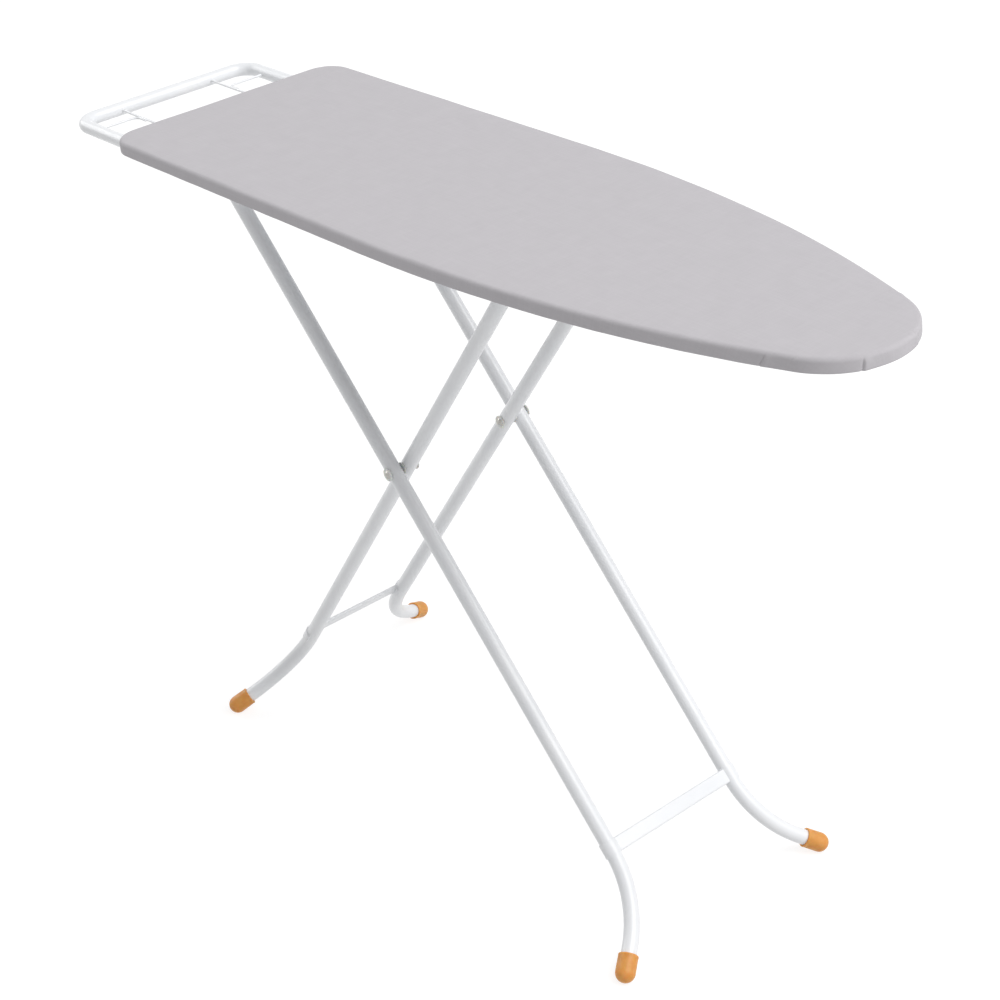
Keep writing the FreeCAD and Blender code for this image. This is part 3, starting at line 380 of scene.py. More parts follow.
@dataclass(frozen=True)
class BraidedElastic(Finish):
    """Braided elastic: rubber threads wrapped in polyester, with ribs across the band and painted shade in the
    grooves between them.
    """

    rib: float = 1.8 * MM
    rib_wobble: float = 0.6

    def pattern(self, tree: bpy.types.NodeTree, shader: bpy.types.Node) -> None:
        """Ribs across the band by its own UV map, in the bump and the colour, with painted shade: the grooves
        between the ribs take the darker colour.

        Args:
            tree: the material's node tree.
            shader: its surface shader.
        """
        band = add_node(tree, "ShaderNodeUVMap", {"uv_map": "cloth"})
        ribs = add_node(tree, "ShaderNodeTexWave", bands("X", self.rib, self.rib_wobble),
                        {"Vector": band.outputs["UV"]}).outputs["Fac"]
        # Painted shade: where the waves are low, in the grooves between the ribs, the colour is darker.
        self.tint(tree, shader, ribs, (self.shade, self.colour))
        bump = add_node(tree, "ShaderNodeBump", {"Distance": self.grain_depth}, {"Height": ribs})
        tree.links.new(bump.outputs["Normal"], shader.inputs["Normal"])


@dataclass(frozen=True)
class BareMetal(Finish):
    """Bare or plated steel: reflects by its own colour, with the marks of the last tool along one way.

    The real marks are finer than 0.1 mm, too fine to show, so they are drawn 0.4 to 0.7 mm wide. Small
    stains of the plating, a share of a patch long, dull the metal where their noise is high.
    """

    stain_share: float = 0.3
    stain_detail: float = 5.0
    stain_low: float = 0.35
    stain_high: float = 0.75
    stain_dulling: float = 1.5

    def gloss(self, tree: bpy.types.NodeTree, where: bpy.types.NodeSocket,
              patches: bpy.types.NodeSocket) -> bpy.types.NodeSocket:
        """Roughness that rises from its value in the stains.

        Args:
            tree: the material's node tree.
            where: coordinates, stretched along the marks.
            patches: the broad patches, which a metal's gloss doesn't follow.

        Returns:
            The roughness.
        """
        stains = add_node(tree, "ShaderNodeTexNoise", lumps(self.patch * self.stain_share, self.stain_detail),
                          {"Vector": where})
        return add_node(tree, "ShaderNodeMapRange",
                        {"From Min": self.stain_low, "From Max": self.stain_high, "To Min": self.roughness,
                         "To Max": min(1.0, self.roughness * self.stain_dulling)},
                        {"Value": stains.outputs["Fac"]}).outputs["Result"]


FINISHES = {
    # Pale grey cloth, pressed smooth, dull all over.
    "cotton_cover": WovenCotton("calendered_cotton", "#C5C2C6", "#BDBABE", roughness=0.85,
                                grain_depth=0.05 * MM, patch=24 * MM),
    # Off-white band with dull ribs, and painted shade in the grooves between them. The hem's thread has the same
    # colour.
    "elastic": BraidedElastic("braided_elastic", "#E4E3DF", "#CFCEC9", roughness=0.8,
                              grain_depth=0.15 * MM),
    # Cream web, its fibres combed along the board.
    "felt_pad": FeltedFibre("needled_felt", "#DAD6CC", "#C9C4B8", roughness=0.95, grain=1.2 * MM,
                            grain_depth=0.4 * MM, patch=25 * MM, stretch=(0.4, 1.0, 1.0)),
    # Light grey sheet under the cover, a little duller than the tubes.
    "coated_sheet": PowderCoat("grey_powder_coat", "#DADDE0", "#D3D6D9", roughness=0.42, grain=1.5 * MM,
                               grain_depth=0.03 * MM),
    # White tubes with a soft highlight.
    "white_powder_coat": PowderCoat("white_powder_coat", "#F1F2F4", "#EBEDF0", roughness=0.34,
                                    grain=1.3 * MM, grain_depth=0.01 * MM, patch=80 * MM),
    # Soft plastic that glows a little inside.
    "orange_plastic": MouldedPlastic("orange_polyethylene", "#E3A050", "#DB9443", roughness=0.46,
                                     grain=0.6 * MM, grain_depth=0.03 * MM, patch=9 * MM, depth=0.6),
    # Hard, nearly black and opaque.
    "dark_nylon": MouldedPlastic("black_nylon", "#2C2C2F", "#242427", roughness=0.5, grain=0.5 * MM,
                                 grain_depth=0.03 * MM, patch=15 * MM),
    # Hard and milky.
    "white_nylon": MouldedPlastic("white_nylon", "#ECECE8", "#E2E2DD", roughness=0.4, grain=0.5 * MM,
                                  grain_depth=0.02 * MM, patch=10 * MM, depth=0.2),
    # Warm and bright, from a tumbled and nickelled blank.
    "rivet_steel": BareMetal("nickelled_steel", "#B9B7B2", "#A5A39E", roughness=0.28, metallic=1.0,
                             grain=0.4 * MM, grain_depth=0.01 * MM, patch=8 * MM),
    # Bright, with fine lines along the rod.
    "drawn_rod": BareMetal("drawn_steel", "#BFC0C2", "#B1B2B4", roughness=0.22, metallic=1.0,
                           grain=0.5 * MM, grain_depth=0.012 * MM, patch=30 * MM, stretch=(0.03, 1.0, 1.0)),
    # Bluish and clouded.
    "zinc_plate": BareMetal("zinc_plated_steel", "#B4B8BD", "#A0A5AB", roughness=0.36, metallic=1.0,
                            grain=0.7 * MM, grain_depth=0.015 * MM, patch=14 * MM),
}


class Paints:
    """The materials, each made once, by the record's slots."""

    def __init__(self) -> None:
        """Starts with none made."""
        self.made: dict[str, bpy.types.Material] = {}

    def of(self, slot: str) -> bpy.types.Material:
        """Gives the material of a slot, made when it is first asked for.

        Args:
            slot: the record's material slot.

        Returns:
            Its material.
        """
        if slot not in self.made:
            self.made[slot] = FINISHES[slot].material()
        return self.made[slot]

    def dress_nodes(self) -> None:
        """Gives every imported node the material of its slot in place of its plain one."""
        for part in frame["record"]["subparts"]:
            node = frame["nodes"][part["node"]]
            node.data.materials.clear()
            node.data.materials.append(self.of(part["material_slot"]))


# Meshes worked out as arrays


def smooth_step(value: np.ndarray | float, low: float, high: float) -> np.ndarray | float:
    """Rises from 0 at low to 1 at high along 3 t squared minus 2 t cubed."""
    t = np.clip((value - low) / (high - low), 0, 1)
    return t * t * (3 - 2 * t)


def quads(rows: int, columns: int) -> np.ndarray:
    """Faces of a grid of points that is closed across its columns.

    Args:
        rows: points along the grid.
        columns: points round it.

    Returns:
        Four point numbers for each face.
    """
    row, column = np.meshgrid(np.arange(rows - 1), np.arange(columns), indexing="ij")
    after = (column + 1) % columns
    corners = (row * columns + column, row * columns + after, (row + 1) * columns + after,
               (row + 1) * columns + column)
    return np.stack(corners, axis=-1).reshape(-1, len(corners))


@dataclass
class Surface:
    """Points and four-cornered faces of a piece, with a place on the flat cloth where it has one."""

    points: np.ndarray
    faces: np.ndarray
    flat: np.ndarray | None = None

    @staticmethod
    def joined(parts: list["Surface"]) -> "Surface":
        """Puts several surfaces into one.

        Args:
            parts: the surfaces, whose places on a flat cloth are left out.

        Returns:
            One surface with all their points and faces.
        """
        starts = np.cumsum([0] + [len(part.points) for part in parts[:-1]])
        faces = [part.faces + start for part, start in zip(parts, starts)]
        return Surface(np.concatenate([part.points for part in parts]), np.concatenate(faces))

    def piece(self, name: str, slot: str, body: str, paints: Paints) -> bpy.types.Object:
        """Makes the Blender object of the surface.

        Coinciding points at seams and poles are merged and the faces turned outwards.

        Args:
            name: the piece's name.
            slot: the record's material slot.
            body: the body that the piece rides on.
            paints: the materials.

        Returns:
            The object, riding on its body.
        """
        mesh = bpy.data.meshes.new(name)
        mesh.vertices.add(len(self.points))
        mesh.vertices.foreach_set("co", self.points.astype(np.float32).ravel())
        mesh.loops.add(self.faces.size)
        mesh.loops.foreach_set("vertex_index", self.faces.astype(np.int32).ravel())
        mesh.polygons.add(len(self.faces))
        mesh.polygons.foreach_set("loop_start",
                                  np.arange(0, self.faces.size, self.faces.shape[1], dtype=np.int32))
        if self.flat is not None:
            mesh.uv_layers.new(name="cloth").uv.foreach_set(
                "vector", self.flat[self.faces.ravel()].astype(np.float32).ravel())
        mesh.update(calc_edges=True)
        shaped = bmesh.new()
        shaped.from_mesh(mesh)
        bmesh.ops.remove_doubles(shaped, verts=shaped.verts, dist=MERGE)
        bmesh.ops.recalc_face_normals(shaped, faces=shaped.faces)
        shaped.to_mesh(mesh)
        shaped.free()
        mesh.validate()
        mesh.shade_smooth()
        mesh.materials.append(paints.of(slot))
        made = bpy.data.objects.new(name, mesh)
        bpy.context.scene.collection.objects.link(made)
        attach(made, body)
        LOG.info("%s: %d faces on %s", name, len(mesh.polygons), body)
        return made


@dataclass
class Route:
    """Middle line of a bent tube or wire in one plane: dense points, and the plane's normal.

    The class also names the fewest points on a bend and on a run, and the rounding of an end: a share of
    the wall for a tube and of the radius for a bar.
    """

    points: np.ndarray
    normal: np.ndarray
    BEND_POINTS: ClassVar[int] = 4
    RUN_POINTS: ClassVar[int] = 3
    TUBE_EDGE: ClassVar[float] = 0.35
    BAR_EDGE: ClassVar[float] = 0.2

    @staticmethod
    def bent(corners: list, radius: float, normal: tuple, step: float = 2.5 * MM) -> "Route":
        """Straight runs between corners, with each inner corner rounded to an arc.

        The arc at a corner starts radius times tan(half the turn) before it. After a turn of a, its point
        is the start + radius (sin a arriving + (1 - cos a) inward).

        Args:
            corners: points, at least two.
            radius: of every bend, on the middle line.
            normal: of the plane that the line lies in.
            step: longest distance between points on a bend.

        Returns:
            The route.
        """
        corners = [np.array(corner, float) for corner in corners]
        axis = np.array(normal, float)
        runs = [corners[0][None]]
        for before, corner, after in zip(corners, corners[1:], corners[2:]):
            arriving = (corner - before) / np.linalg.norm(corner - before)
            leaving = (after - corner) / np.linalg.norm(after - corner)
            turn = math.acos(float(np.clip(arriving @ leaving, -1, 1)))
            way = math.copysign(1, float(np.cross(arriving, leaving) @ axis))
            inward = np.cross(axis, arriving) * way
            start = corner - arriving * radius * math.tan(turn / 2)
            angles = np.linspace(0, turn, max(Route.BEND_POINTS, int(turn * radius / step)))[:, None]
            runs.append(start + radius * (np.sin(angles) * arriving + (1 - np.cos(angles)) * inward))
        runs.append(corners[-1][None])
        return Route(np.concatenate(runs), axis)

    def length(self) -> float:
        """Length of the middle line."""
        return float(np.linalg.norm(np.diff(self.points, axis=0), axis=1).sum())

    def ring_frames(self, along: np.ndarray) -> tuple[np.ndarray, np.ndarray]:
        """Finds the places and the ways across of rings on the line.

        The line goes straight on beyond its ends. The way across is the cross product of the normal and
        the heading, and the heading between two points is mixed from theirs.

        Args:
            along: distances from the start.

        Returns:
            Middles of the rings, and directions across the line in its plane.
        """
        steps = np.diff(self.points, axis=0)
        lengths = np.linalg.norm(steps, axis=1)
        marks = np.concatenate([[0], np.cumsum(lengths)])
        headings = steps / lengths[:, None]
        corner_headings = np.concatenate([headings[:1], headings[:-1] + headings[1:], headings[-1:]])
        kept = np.clip(along, 0, marks[-1])
        middle = np.stack([np.interp(kept, marks, self.points[:, axis]) for axis in range(3)], axis=1)
        heading = np.stack([np.interp(kept, marks, corner_headings[:, axis]) for axis in range(3)], axis=1)
        heading /= np.linalg.norm(heading, axis=1)[:, None]
        middle = middle + heading * (along - kept)[:, None]
        return middle, np.cross(self.normal, heading)

    def tube(self, along: np.ndarray, radius: np.ndarray, around: int = 40) -> Surface:
        """Rings round the line: point = middle + radius (cos a across + sin a normal).

        Args:
            along: distance of each ring from the start, which may go back, as inside a bore.
            radius: of each ring; 0 closes an end.
            around: points on each ring.

        Returns:
            The surface.
        """
        middle, across = self.ring_frames(along)
        angle = np.arange(around) * ROUND / around
        spokes = (np.cos(angle)[None, :, None] * across[:, None, :]
                  + np.sin(angle)[None, :, None] * self.normal[None, None, :])
        points = middle[:, None, :] + radius[:, None, None] * spokes
        return Surface(points.reshape(-1, 3), quads(len(along), around))

    def hollow(self, radius: float, wall: float, step: float = 5 * MM, depth: float = 40 * MM) -> Surface:
        """Tube with an open bore at both ends, closed out of sight inside, and softened end edges.

        Args:
            radius: outer radius.
            wall: thickness of the wall.
            step: distance between rings.
            depth: how far the bores go in.

        Returns:
            The surface.
        """
        length = self.length()
        inner = radius - wall
        edge = wall * self.TUBE_EDGE
        mouth = np.array([[depth, 0], [depth, inner], [edge, inner], [0, inner + edge], [0, radius - edge],
                          [edge, radius]])
        middle = np.linspace(edge, length - edge, max(self.RUN_POINTS, int(length / step)))[1:-1]
        body = np.stack([middle, np.full_like(middle, radius)], axis=1)
        far = mouth[::-1] * (-1, 1) + (length, 0)
        rings = np.concatenate([mouth, body, far])
        return self.tube(rings[:, 0], rings[:, 1])

    def solid(self, radius: float, step: float = 3 * MM, around: int = 20) -> Surface:
        """Round bar with both ends closed and their edges softened.

        Args:
            radius: of the bar.
            step: distance between rings.
            around: points on each ring.

        Returns:
            The surface.
        """
        length = self.length()
        edge = radius * self.BAR_EDGE
        middle = np.linspace(edge, length - edge, max(self.RUN_POINTS, int(length / step)))
        along = np.concatenate([[0, 0], middle, [length, length]])
        radii = np.concatenate([[0, radius - edge], np.full_like(middle, radius), [radius - edge, 0]])
        return self.tube(along, radii, around)


# The top


@dataclass
class TopOutline:
    """Outline of the top: a nose arc, two flank arcs, a straight side, a rear corner and the rear edge.

    A station is a place on the left half, from the tip of the nose to the middle of the rear edge. The
    right half mirrors it. The taper is the length from the tip to the straight side, and the bells are
    where stations crowd together.
    """

    rear_x: float
    nose_x: float
    half_width: float
    nose_radius: float = 87 * MM
    nose_sweep: float = math.radians(70)
    taper_length: float = 604 * MM
    corner_radius: float = 36 * MM
    least_radius: float = 4 * MM
    bell_height: float = 7.0
    bell_width: float = 9 * MM
    fine_steps: int = 20000

    def flanks(self) -> list[tuple[np.ndarray, float, float, float]]:
        """Works out the nose arc and the two flank arcs.

        The flank arcs run from the nose arc to the straight side and meet with equal tangents. Both
        tangents are t long and the line between their ends 2 t, so t is the root of a quadratic: with the
        chord c and the sum of the end headings h, (2 - 2 sin sweep) t squared + 2 (c . h) t = c . c.

        Returns:
            Centre, radius, first and last direction of each arc.
        """
        nose = np.array([self.nose_x - self.nose_radius, 0.0])
        begin = nose + self.nose_radius * self.heading(self.nose_sweep)
        end = np.array([self.nose_x - self.taper_length, self.half_width])
        chord = end - begin
        headings = self.heading(self.nose_sweep + QUARTER) - (1, 0)
        spread = 2 - 2 * math.sin(self.nose_sweep)
        slant = chord @ headings
        tangent = (math.sqrt(slant**2 + spread * (chord @ chord)) - slant) / spread
        joint = chord - headings * tangent
        middle = math.atan2(-joint[0], joint[1])
        shoulder = tangent / math.tan((middle - self.nose_sweep) / 2)
        side = tangent / math.tan((QUARTER - middle) / 2)
        return [(nose, self.nose_radius, 0.0, self.nose_sweep),
                (begin - shoulder * self.heading(self.nose_sweep), shoulder, self.nose_sweep, middle),
                (end - (0, side), side, middle, QUARTER)]

    @staticmethod
    def heading(angle: float) -> np.ndarray:
        """Direction at an angle from X."""
        return np.array([math.cos(angle), math.sin(angle)])

    def lengths(self) -> np.ndarray:
        """Measures the stretches of the left half, an arc as its radius times its sweep.

        Returns:
            A length for each stretch, in their order.
        """
        arcs = [radius * (last - first) for _, radius, first, last in self.flanks()]
        side = self.nose_x - self.taper_length - self.rear_x - self.corner_radius
        corner = self.corner_radius * QUARTER
        return np.array(arcs + [side, corner, self.half_width - self.corner_radius])

    def stations(self, count: int, crowded: list[float]) -> np.ndarray:
        """Distances from the tip, closer together round some places.

        The density is 1 plus a bell at each place, bell_height times e to the minus (distance /
        bell_width) squared. The stations divide its sum evenly.

        Args:
            count: how many.
            crowded: distances of the places from the tip.

        Returns:
            Distances from the tip to the middle of the rear edge.
        """
        fine = np.linspace(0, self.lengths().sum(), self.fine_steps)
        bells = np.exp(-((fine[:, None] - np.array(crowded)[None, :]) / self.bell_width) ** 2)
        density = 1 + self.bell_height * bells.sum(axis=1)
        running = np.cumsum(density)
        return np.interp(np.linspace(running[0], running[-1], count), running, fine)

    def points(self, station: np.ndarray, inset: float) -> tuple[np.ndarray, np.ndarray]:
        """Places on the outline moved inwards, and the outward directions there.

        On an arc the place is centre + (radius - inset) times the outward direction. The rear corner
        keeps at least its least radius.

        Args:
            station: distances from the tip along the left half, uninset.
            inset: distance inwards.

        Returns:
            Points and directions, two numbers each.
        """
        marks = np.concatenate([[0], np.cumsum(self.lengths())])
        stretch = np.clip(np.searchsorted(marks, station, side="right") - 1, 0, Stretch.REAR)
        share = (station - marks[stretch]) / (marks[stretch + 1] - marks[stretch])
        corner = max(self.corner_radius - inset, self.least_radius)
        side_y = self.half_width - inset
        rear = self.rear_x + inset
        turned = (np.array([rear + corner, side_y - corner]), corner + inset, QUARTER, math.pi)
        curved = (Stretch.NOSE, Stretch.FLANK, Stretch.SHOULDER, Stretch.CORNER)
        spots = np.zeros((len(station), 2))
        outward = np.zeros((len(station), 2))
        for arc, (centre, radius, first, last) in zip(curved, self.flanks() + [turned]):
            here = stretch == arc
            turn = first + (last - first) * share[here]
            outward[here] = np.stack([np.cos(turn), np.sin(turn)], axis=1)
            spots[here] = centre + (radius - inset) * outward[here]
        here = stretch == Stretch.SIDE
        start = self.nose_x - self.taper_length
        side_x = start + (rear + corner - start) * share[here]
        spots[here] = np.stack([side_x, np.full(here.sum(), side_y)], axis=1)
        outward[here] = (0, 1)
        here = stretch == Stretch.REAR
        rear_y = (side_y - corner) * (1 - share[here])
        spots[here] = np.stack([np.full(here.sum(), rear), rear_y], axis=1)
        outward[here] = (-1, 0)
        return spots, outward


@dataclass
class Tuck:
    """A small fold of spare cloth down the side of the cover: a crease with a puff of cloth beside it.

    The lean is the fold's sideways run for each unit of height, and the fold fades above and below its
    middle.
    """

    station: float
    side: Side
    puff: float
    crease: float
    lean: float
    middle: float = 9 * MM
    half_height: float = 9 * MM
    reach: float = 3 * MM
    crease_width: float = 1.4 * MM


@dataclass
class PaddedTop:
    """The soft layers of the top: felt pad, cotton cover with its hem, elastic and stitching.

    The crown is the part of the top further in than its inset. Waves are rows of numbers: soft_rows has
    the length along X, the length along Y and the phase, side_rows the height, the number round the
    outline and the phase, and uneven_rows the height in radians and the number of gathers that it takes.
    """

    outline: TopOutline
    top: float
    bottom: float
    cloth: float = 1.0 * MM
    cloth_layer: float = 0.8 * MM
    edge_round: float = 5.0 * MM
    shoulder: float = 0.5 * MM
    shoulder_width: float = 16 * MM
    roll: float = 1.6 * MM
    hem: float = 61.7 * MM
    crown_inset: float = 45 * MM
    crown_rings: int = 16
    shoulder_rings: int = 12
    edge_rings: int = 10
    side_rings: int = 10
    hem_rings: int = 15
    half_stations: int = 330
    plan_stations: int = 400
    soft_rows: tuple[tuple[float, float, float], ...] = (
        (0.21, 0.34, 0.0), (0.13, -0.17, 1.3), (0.09, 0.11, 2.1))
    soft_height: float = 0.1 * MM
    soft_fade: float = 3 * MM
    side_rows: tuple[tuple[float, float, float], ...] = ((1.0, 31, 0.0), (1.0, 47, 0.7), (0.6, 83, 2.0))
    side_level: float = 2.6
    side_height: float = 0.08 * MM
    side_fade: tuple[float, float] = (0.1, 0.9)
    rib_names: tuple[str, ...] = ("rear_rib", "hinge_rib", "middle_rib", "slide_rib", "front_rib")
    rib_fade: float = 14 * MM
    gather: float = 2.6 * MM
    gather_length: float = 13 * MM
    gather_start: float = 17 * MM
    uneven_rows: tuple[tuple[float, float], ...] = ((0.8, 7.3), (0.5, 3.1))
    pad_gap: float = 0.35 * MM
    pad_depth: float = 6 * MM
    pad_edge: float = 1.6 * MM
    pad_edge_rings: int = 13
    pad_rings: int = 12
    elastic_width: float = 4 * MM
    elastic_depth: float = 2 * MM
    elastic_points: int = 12
    elastic_fullness: float = 0.6
    stitch_inset: float = 53.5 * MM
    stitch_pitch: float = 3.6 * MM
    stitch_length: float = 2.6 * MM
    stitch_bow: float = 0.5
    stitch_blunt: float = 1.05
    stitch_rings: int = 5
    stitch_points: int = 6
    thread_radius: float = 0.28 * MM
    tucks: tuple[Tuck, ...] = (
        Tuck(137 * MM, Side.RIGHT, puff=1.1 * MM, crease=0.8 * MM, lean=-0.5, middle=6 * MM,
             half_height=6 * MM),
        Tuck(104 * MM, Side.RIGHT, puff=0.7 * MM, crease=0.3 * MM, lean=-1.2, middle=14 * MM,
             half_height=4 * MM),
        Tuck(41 * MM, Side.RIGHT, puff=1.3 * MM, crease=0.8 * MM, lean=-0.15, middle=5 * MM,
             half_height=7 * MM),
        Tuck(118 * MM, Side.LEFT, puff=1.0 * MM, crease=0.7 * MM, lean=0.8),
        Tuck(34 * MM, Side.LEFT, puff=1.1 * MM, crease=0.6 * MM, lean=-0.3),
    )

    def loop(self, inset: float, station: np.ndarray) -> tuple[np.ndarray, np.ndarray]:
        """Closed outline moved inwards: the left half and then its mirror image.

        Args:
            inset: distance inwards.
            station: distances from the tip along the left half.

        Returns:
            Points and outward directions, two numbers each.
        """
        spots, outward = self.outline.points(station, inset)
        mirror = np.array([1, -1])
        return (np.concatenate([spots, spots[-2:0:-1] * mirror]),
                np.concatenate([outward, outward[-2:0:-1] * mirror]))

    @staticmethod
    def round_trip(station: np.ndarray) -> np.ndarray:
        """Distances from the tip of every point of the closed outline, on round the right half."""
        return np.concatenate([station, 2 * station[-1] - station[-2:0:-1]])

    def crown(self, edge: np.ndarray, shares: np.ndarray) -> list[np.ndarray]:
        """Rings between the middle line of the top and the crown's edge.

        Each point of a ring is the point of the middle line straight across from its point of the edge,
        or the nearest end of that line, plus a share of the way to the edge.

        Args:
            edge: points of the crown's edge.
            shares: 0 for the middle line to 1 for the edge.

        Returns:
            Points of each ring, two numbers each.
        """
        across = np.clip(edge[:, 0], self.outline.rear_x + self.outline.half_width,
                         self.outline.nose_x - self.outline.nose_radius)
        spine = np.stack([across, np.zeros(len(edge))], axis=1)
        return [spine + (edge - spine) * share for share in shares]

    def section(self) -> np.ndarray:
        """Section of the cover from the crown's edge over the edge of the top to the hem.

        Flat top with a shallow shoulder, which falls with the square of the nearness to the edge, a
        quarter circle of the edge rounding, a straight side, a quarter circle of the roll under the rim,
        and the flat hem.

        Returns:
            Rows of inset, height and cloth used so far.
        """
        turn = np.linspace(0, QUARTER, self.edge_rings)
        flat = np.linspace(self.crown_inset, self.edge_round, self.shoulder_rings)[:-1]
        near = np.clip(1 - (flat - self.edge_round) / self.shoulder_width, 0, 1)
        edge = self.top - self.shoulder
        upper = np.stack([self.edge_round * (1 - np.sin(turn)), edge - self.edge_round * (1 - np.cos(turn))],
                         axis=1)
        side = np.linspace(edge - self.edge_round, self.bottom + self.roll, self.side_rings)[1:-1]
        turn = turn[::2]
        lower = np.stack([self.roll * (1 - np.cos(turn)), self.bottom + self.roll * (1 - np.sin(turn))],
                         axis=1)
        hem = np.linspace(self.roll, self.hem, self.hem_rings)[1:]
        rows = np.concatenate([np.stack([flat, self.top - self.shoulder * near**2], axis=1), upper,
                               np.stack([np.zeros_like(side), side], axis=1), lower,
                               np.stack([hem, np.full_like(hem, self.bottom)], axis=1)])
        used = np.concatenate([[0], np.cumsum(np.linalg.norm(np.diff(rows, axis=0), axis=1))])
        return np.column_stack([rows, used])

    def softness(self, spots: np.ndarray) -> np.ndarray:
        """Height of the top above its middle level: the sum of sin(x / length + y / length + phase).

        A length is one whole turn. The waves cross each other, are 70 to 180 mm long and reach 0.3 mm
        together.

        Args:
            spots: points, two numbers each.

        Returns:
            A height for each.
        """
        x, y = spots[:, 0], spots[:, 1]
        waves = sum(np.sin(ROUND * (x / long + y / wide) + phase) for long, wide, phase in self.soft_rows)
        return self.soft_height * waves

    def rib_mask(self, spots: np.ndarray) -> np.ndarray:
        """0 under the ribs of the panel, where the hem lies flat, and 1 between them.

        Args:
            spots: points, two numbers each.

        Returns:
            A share for each.
        """
        mask = np.ones(len(spots))
        for name in self.rib_names:
            low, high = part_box(name)
            middle, half = (low.x + high.x) / 2, (high.x - low.x) / 2
            mask *= smooth_step(np.abs(spots[:, 0] - middle), half, half + self.rib_fade)
        return mask

    def gathers(self, spots: np.ndarray, arc: np.ndarray, inset: float) -> np.ndarray:
        """Upward pleats of the hem between the ribs, which grow towards the elastic.

        The height goes with |sin phase|. The phase gains half a turn on each gather, and two slower sine
        waves push it to and fro.

        Args:
            spots: points of the hem, two numbers each.
            arc: their distances from the tip, right round.
            inset: how far in they lie.

        Returns:
            A height for each.
        """
        pitch = ROUND * arc / self.gather_length
        phase = pitch / 2
        for height, slowness in self.uneven_rows:
            phase = phase + height * np.sin(pitch / slowness)
        grown = smooth_step(inset, self.gather_start, self.hem)
        return self.gather * grown * np.abs(np.sin(phase)) * self.rib_mask(spots)

    def side_waves(self, arc: np.ndarray, height: float) -> np.ndarray:
        """How far the cloth stands off the rim: slow swells, fuller towards the hem.

        The swells are a level plus the sum of height times sin(number times the turn + phase).

        Args:
            arc: distances from the tip, right round.
            height: of the ring.

        Returns:
            A distance for each place.
        """
        turn = ROUND * arc / (2 * self.outline.lengths().sum())
        swell = sum(size * np.sin(number * turn + phase) for size, number, phase in self.side_rows)
        share = (self.top - height) / (self.top - self.bottom)
        return self.side_height * (swell + self.side_level) * smooth_step(share, *self.side_fade)

    def tuck_heights(self, arc: np.ndarray, height: float) -> np.ndarray:
        """Height of the tucks: a narrow crease inwards, and a broad puff outwards on the side of the nose.

        The crease is e to the minus (distance / its width) squared. The puff is x times e to the (1 - x),
        where x is the distance ahead over its reach. Both are times e to the minus (height off the tuck's
        middle / its half height) to the fourth.

        Args:
            arc: distances from the tip, right round.
            height: of the ring.

        Returns:
            A distance outwards for each place.
        """
        total = 2 * self.outline.lengths().sum()
        risen = np.zeros_like(arc)
        for tuck in self.tucks:
            place = tuck.station if tuck.side is Side.LEFT else total - tuck.station
            rise = height - self.bottom - tuck.middle
            off = arc - place - tuck.lean * rise * tuck.side.value
            ahead = np.clip(-off * tuck.side.value / tuck.reach, 0, None)
            fade = math.exp(-((rise / tuck.half_height) ** 4))
            puff = tuck.puff * ahead * np.exp(1 - ahead)
            risen += fade * (puff - tuck.crease * np.exp(-((off / tuck.crease_width) ** 2)))
        return risen

    def cloth_surface(self) -> Surface:
        """The cover's outer face: rings from the middle line of the top out to the edge of the hem.

        Returns:
            The surface, with its places on the flat cloth: each ring beyond the crown lies as far from
            the crown's edge as the section has used cloth.
        """
        station = self.outline.stations(self.half_stations, [tuck.station for tuck in self.tucks])
        arc = self.round_trip(station)
        edge, _ = self.loop(self.crown_inset, station)
        flats = self.crown(edge, np.linspace(0, 1, self.crown_rings)[:-1])
        rings = [np.column_stack([spots, self.top + self.softness(spots)]) for spots in flats]
        for inset, height, used in self.section():
            spots, outward = self.loop(inset, station)
            lift = self.softness(spots) * smooth_step(height, self.top - self.soft_fade, self.top)
            out = np.zeros(len(arc))
            if height < self.bottom + MERGE:
                lift = lift + self.gathers(spots, arc, inset)
            else:
                out = self.side_waves(arc, height) + self.tuck_heights(arc, height)
            rings.append(np.column_stack([spots + outward * out[:, None], height + lift]))
            flats.append(edge + outward * used)
        return Surface(np.concatenate(rings), quads(len(rings), len(arc)), np.concatenate(flats))

    def cover(self, paints: Paints) -> bpy.types.Object:
        """The cotton cover: its outer face, with the cloth's thickness inwards.

        Args:
            paints: the materials.

        Returns:
            The piece.
        """
        made = self.cloth_surface().piece("cotton_cover", "cotton_cover", "board", paints)
        layer = made.modifiers.new("cloth", "SOLIDIFY")
        layer.thickness = self.cloth_layer
        layer.offset = -1.0
        layer.use_even_offset = False
        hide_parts("cover")
        return made

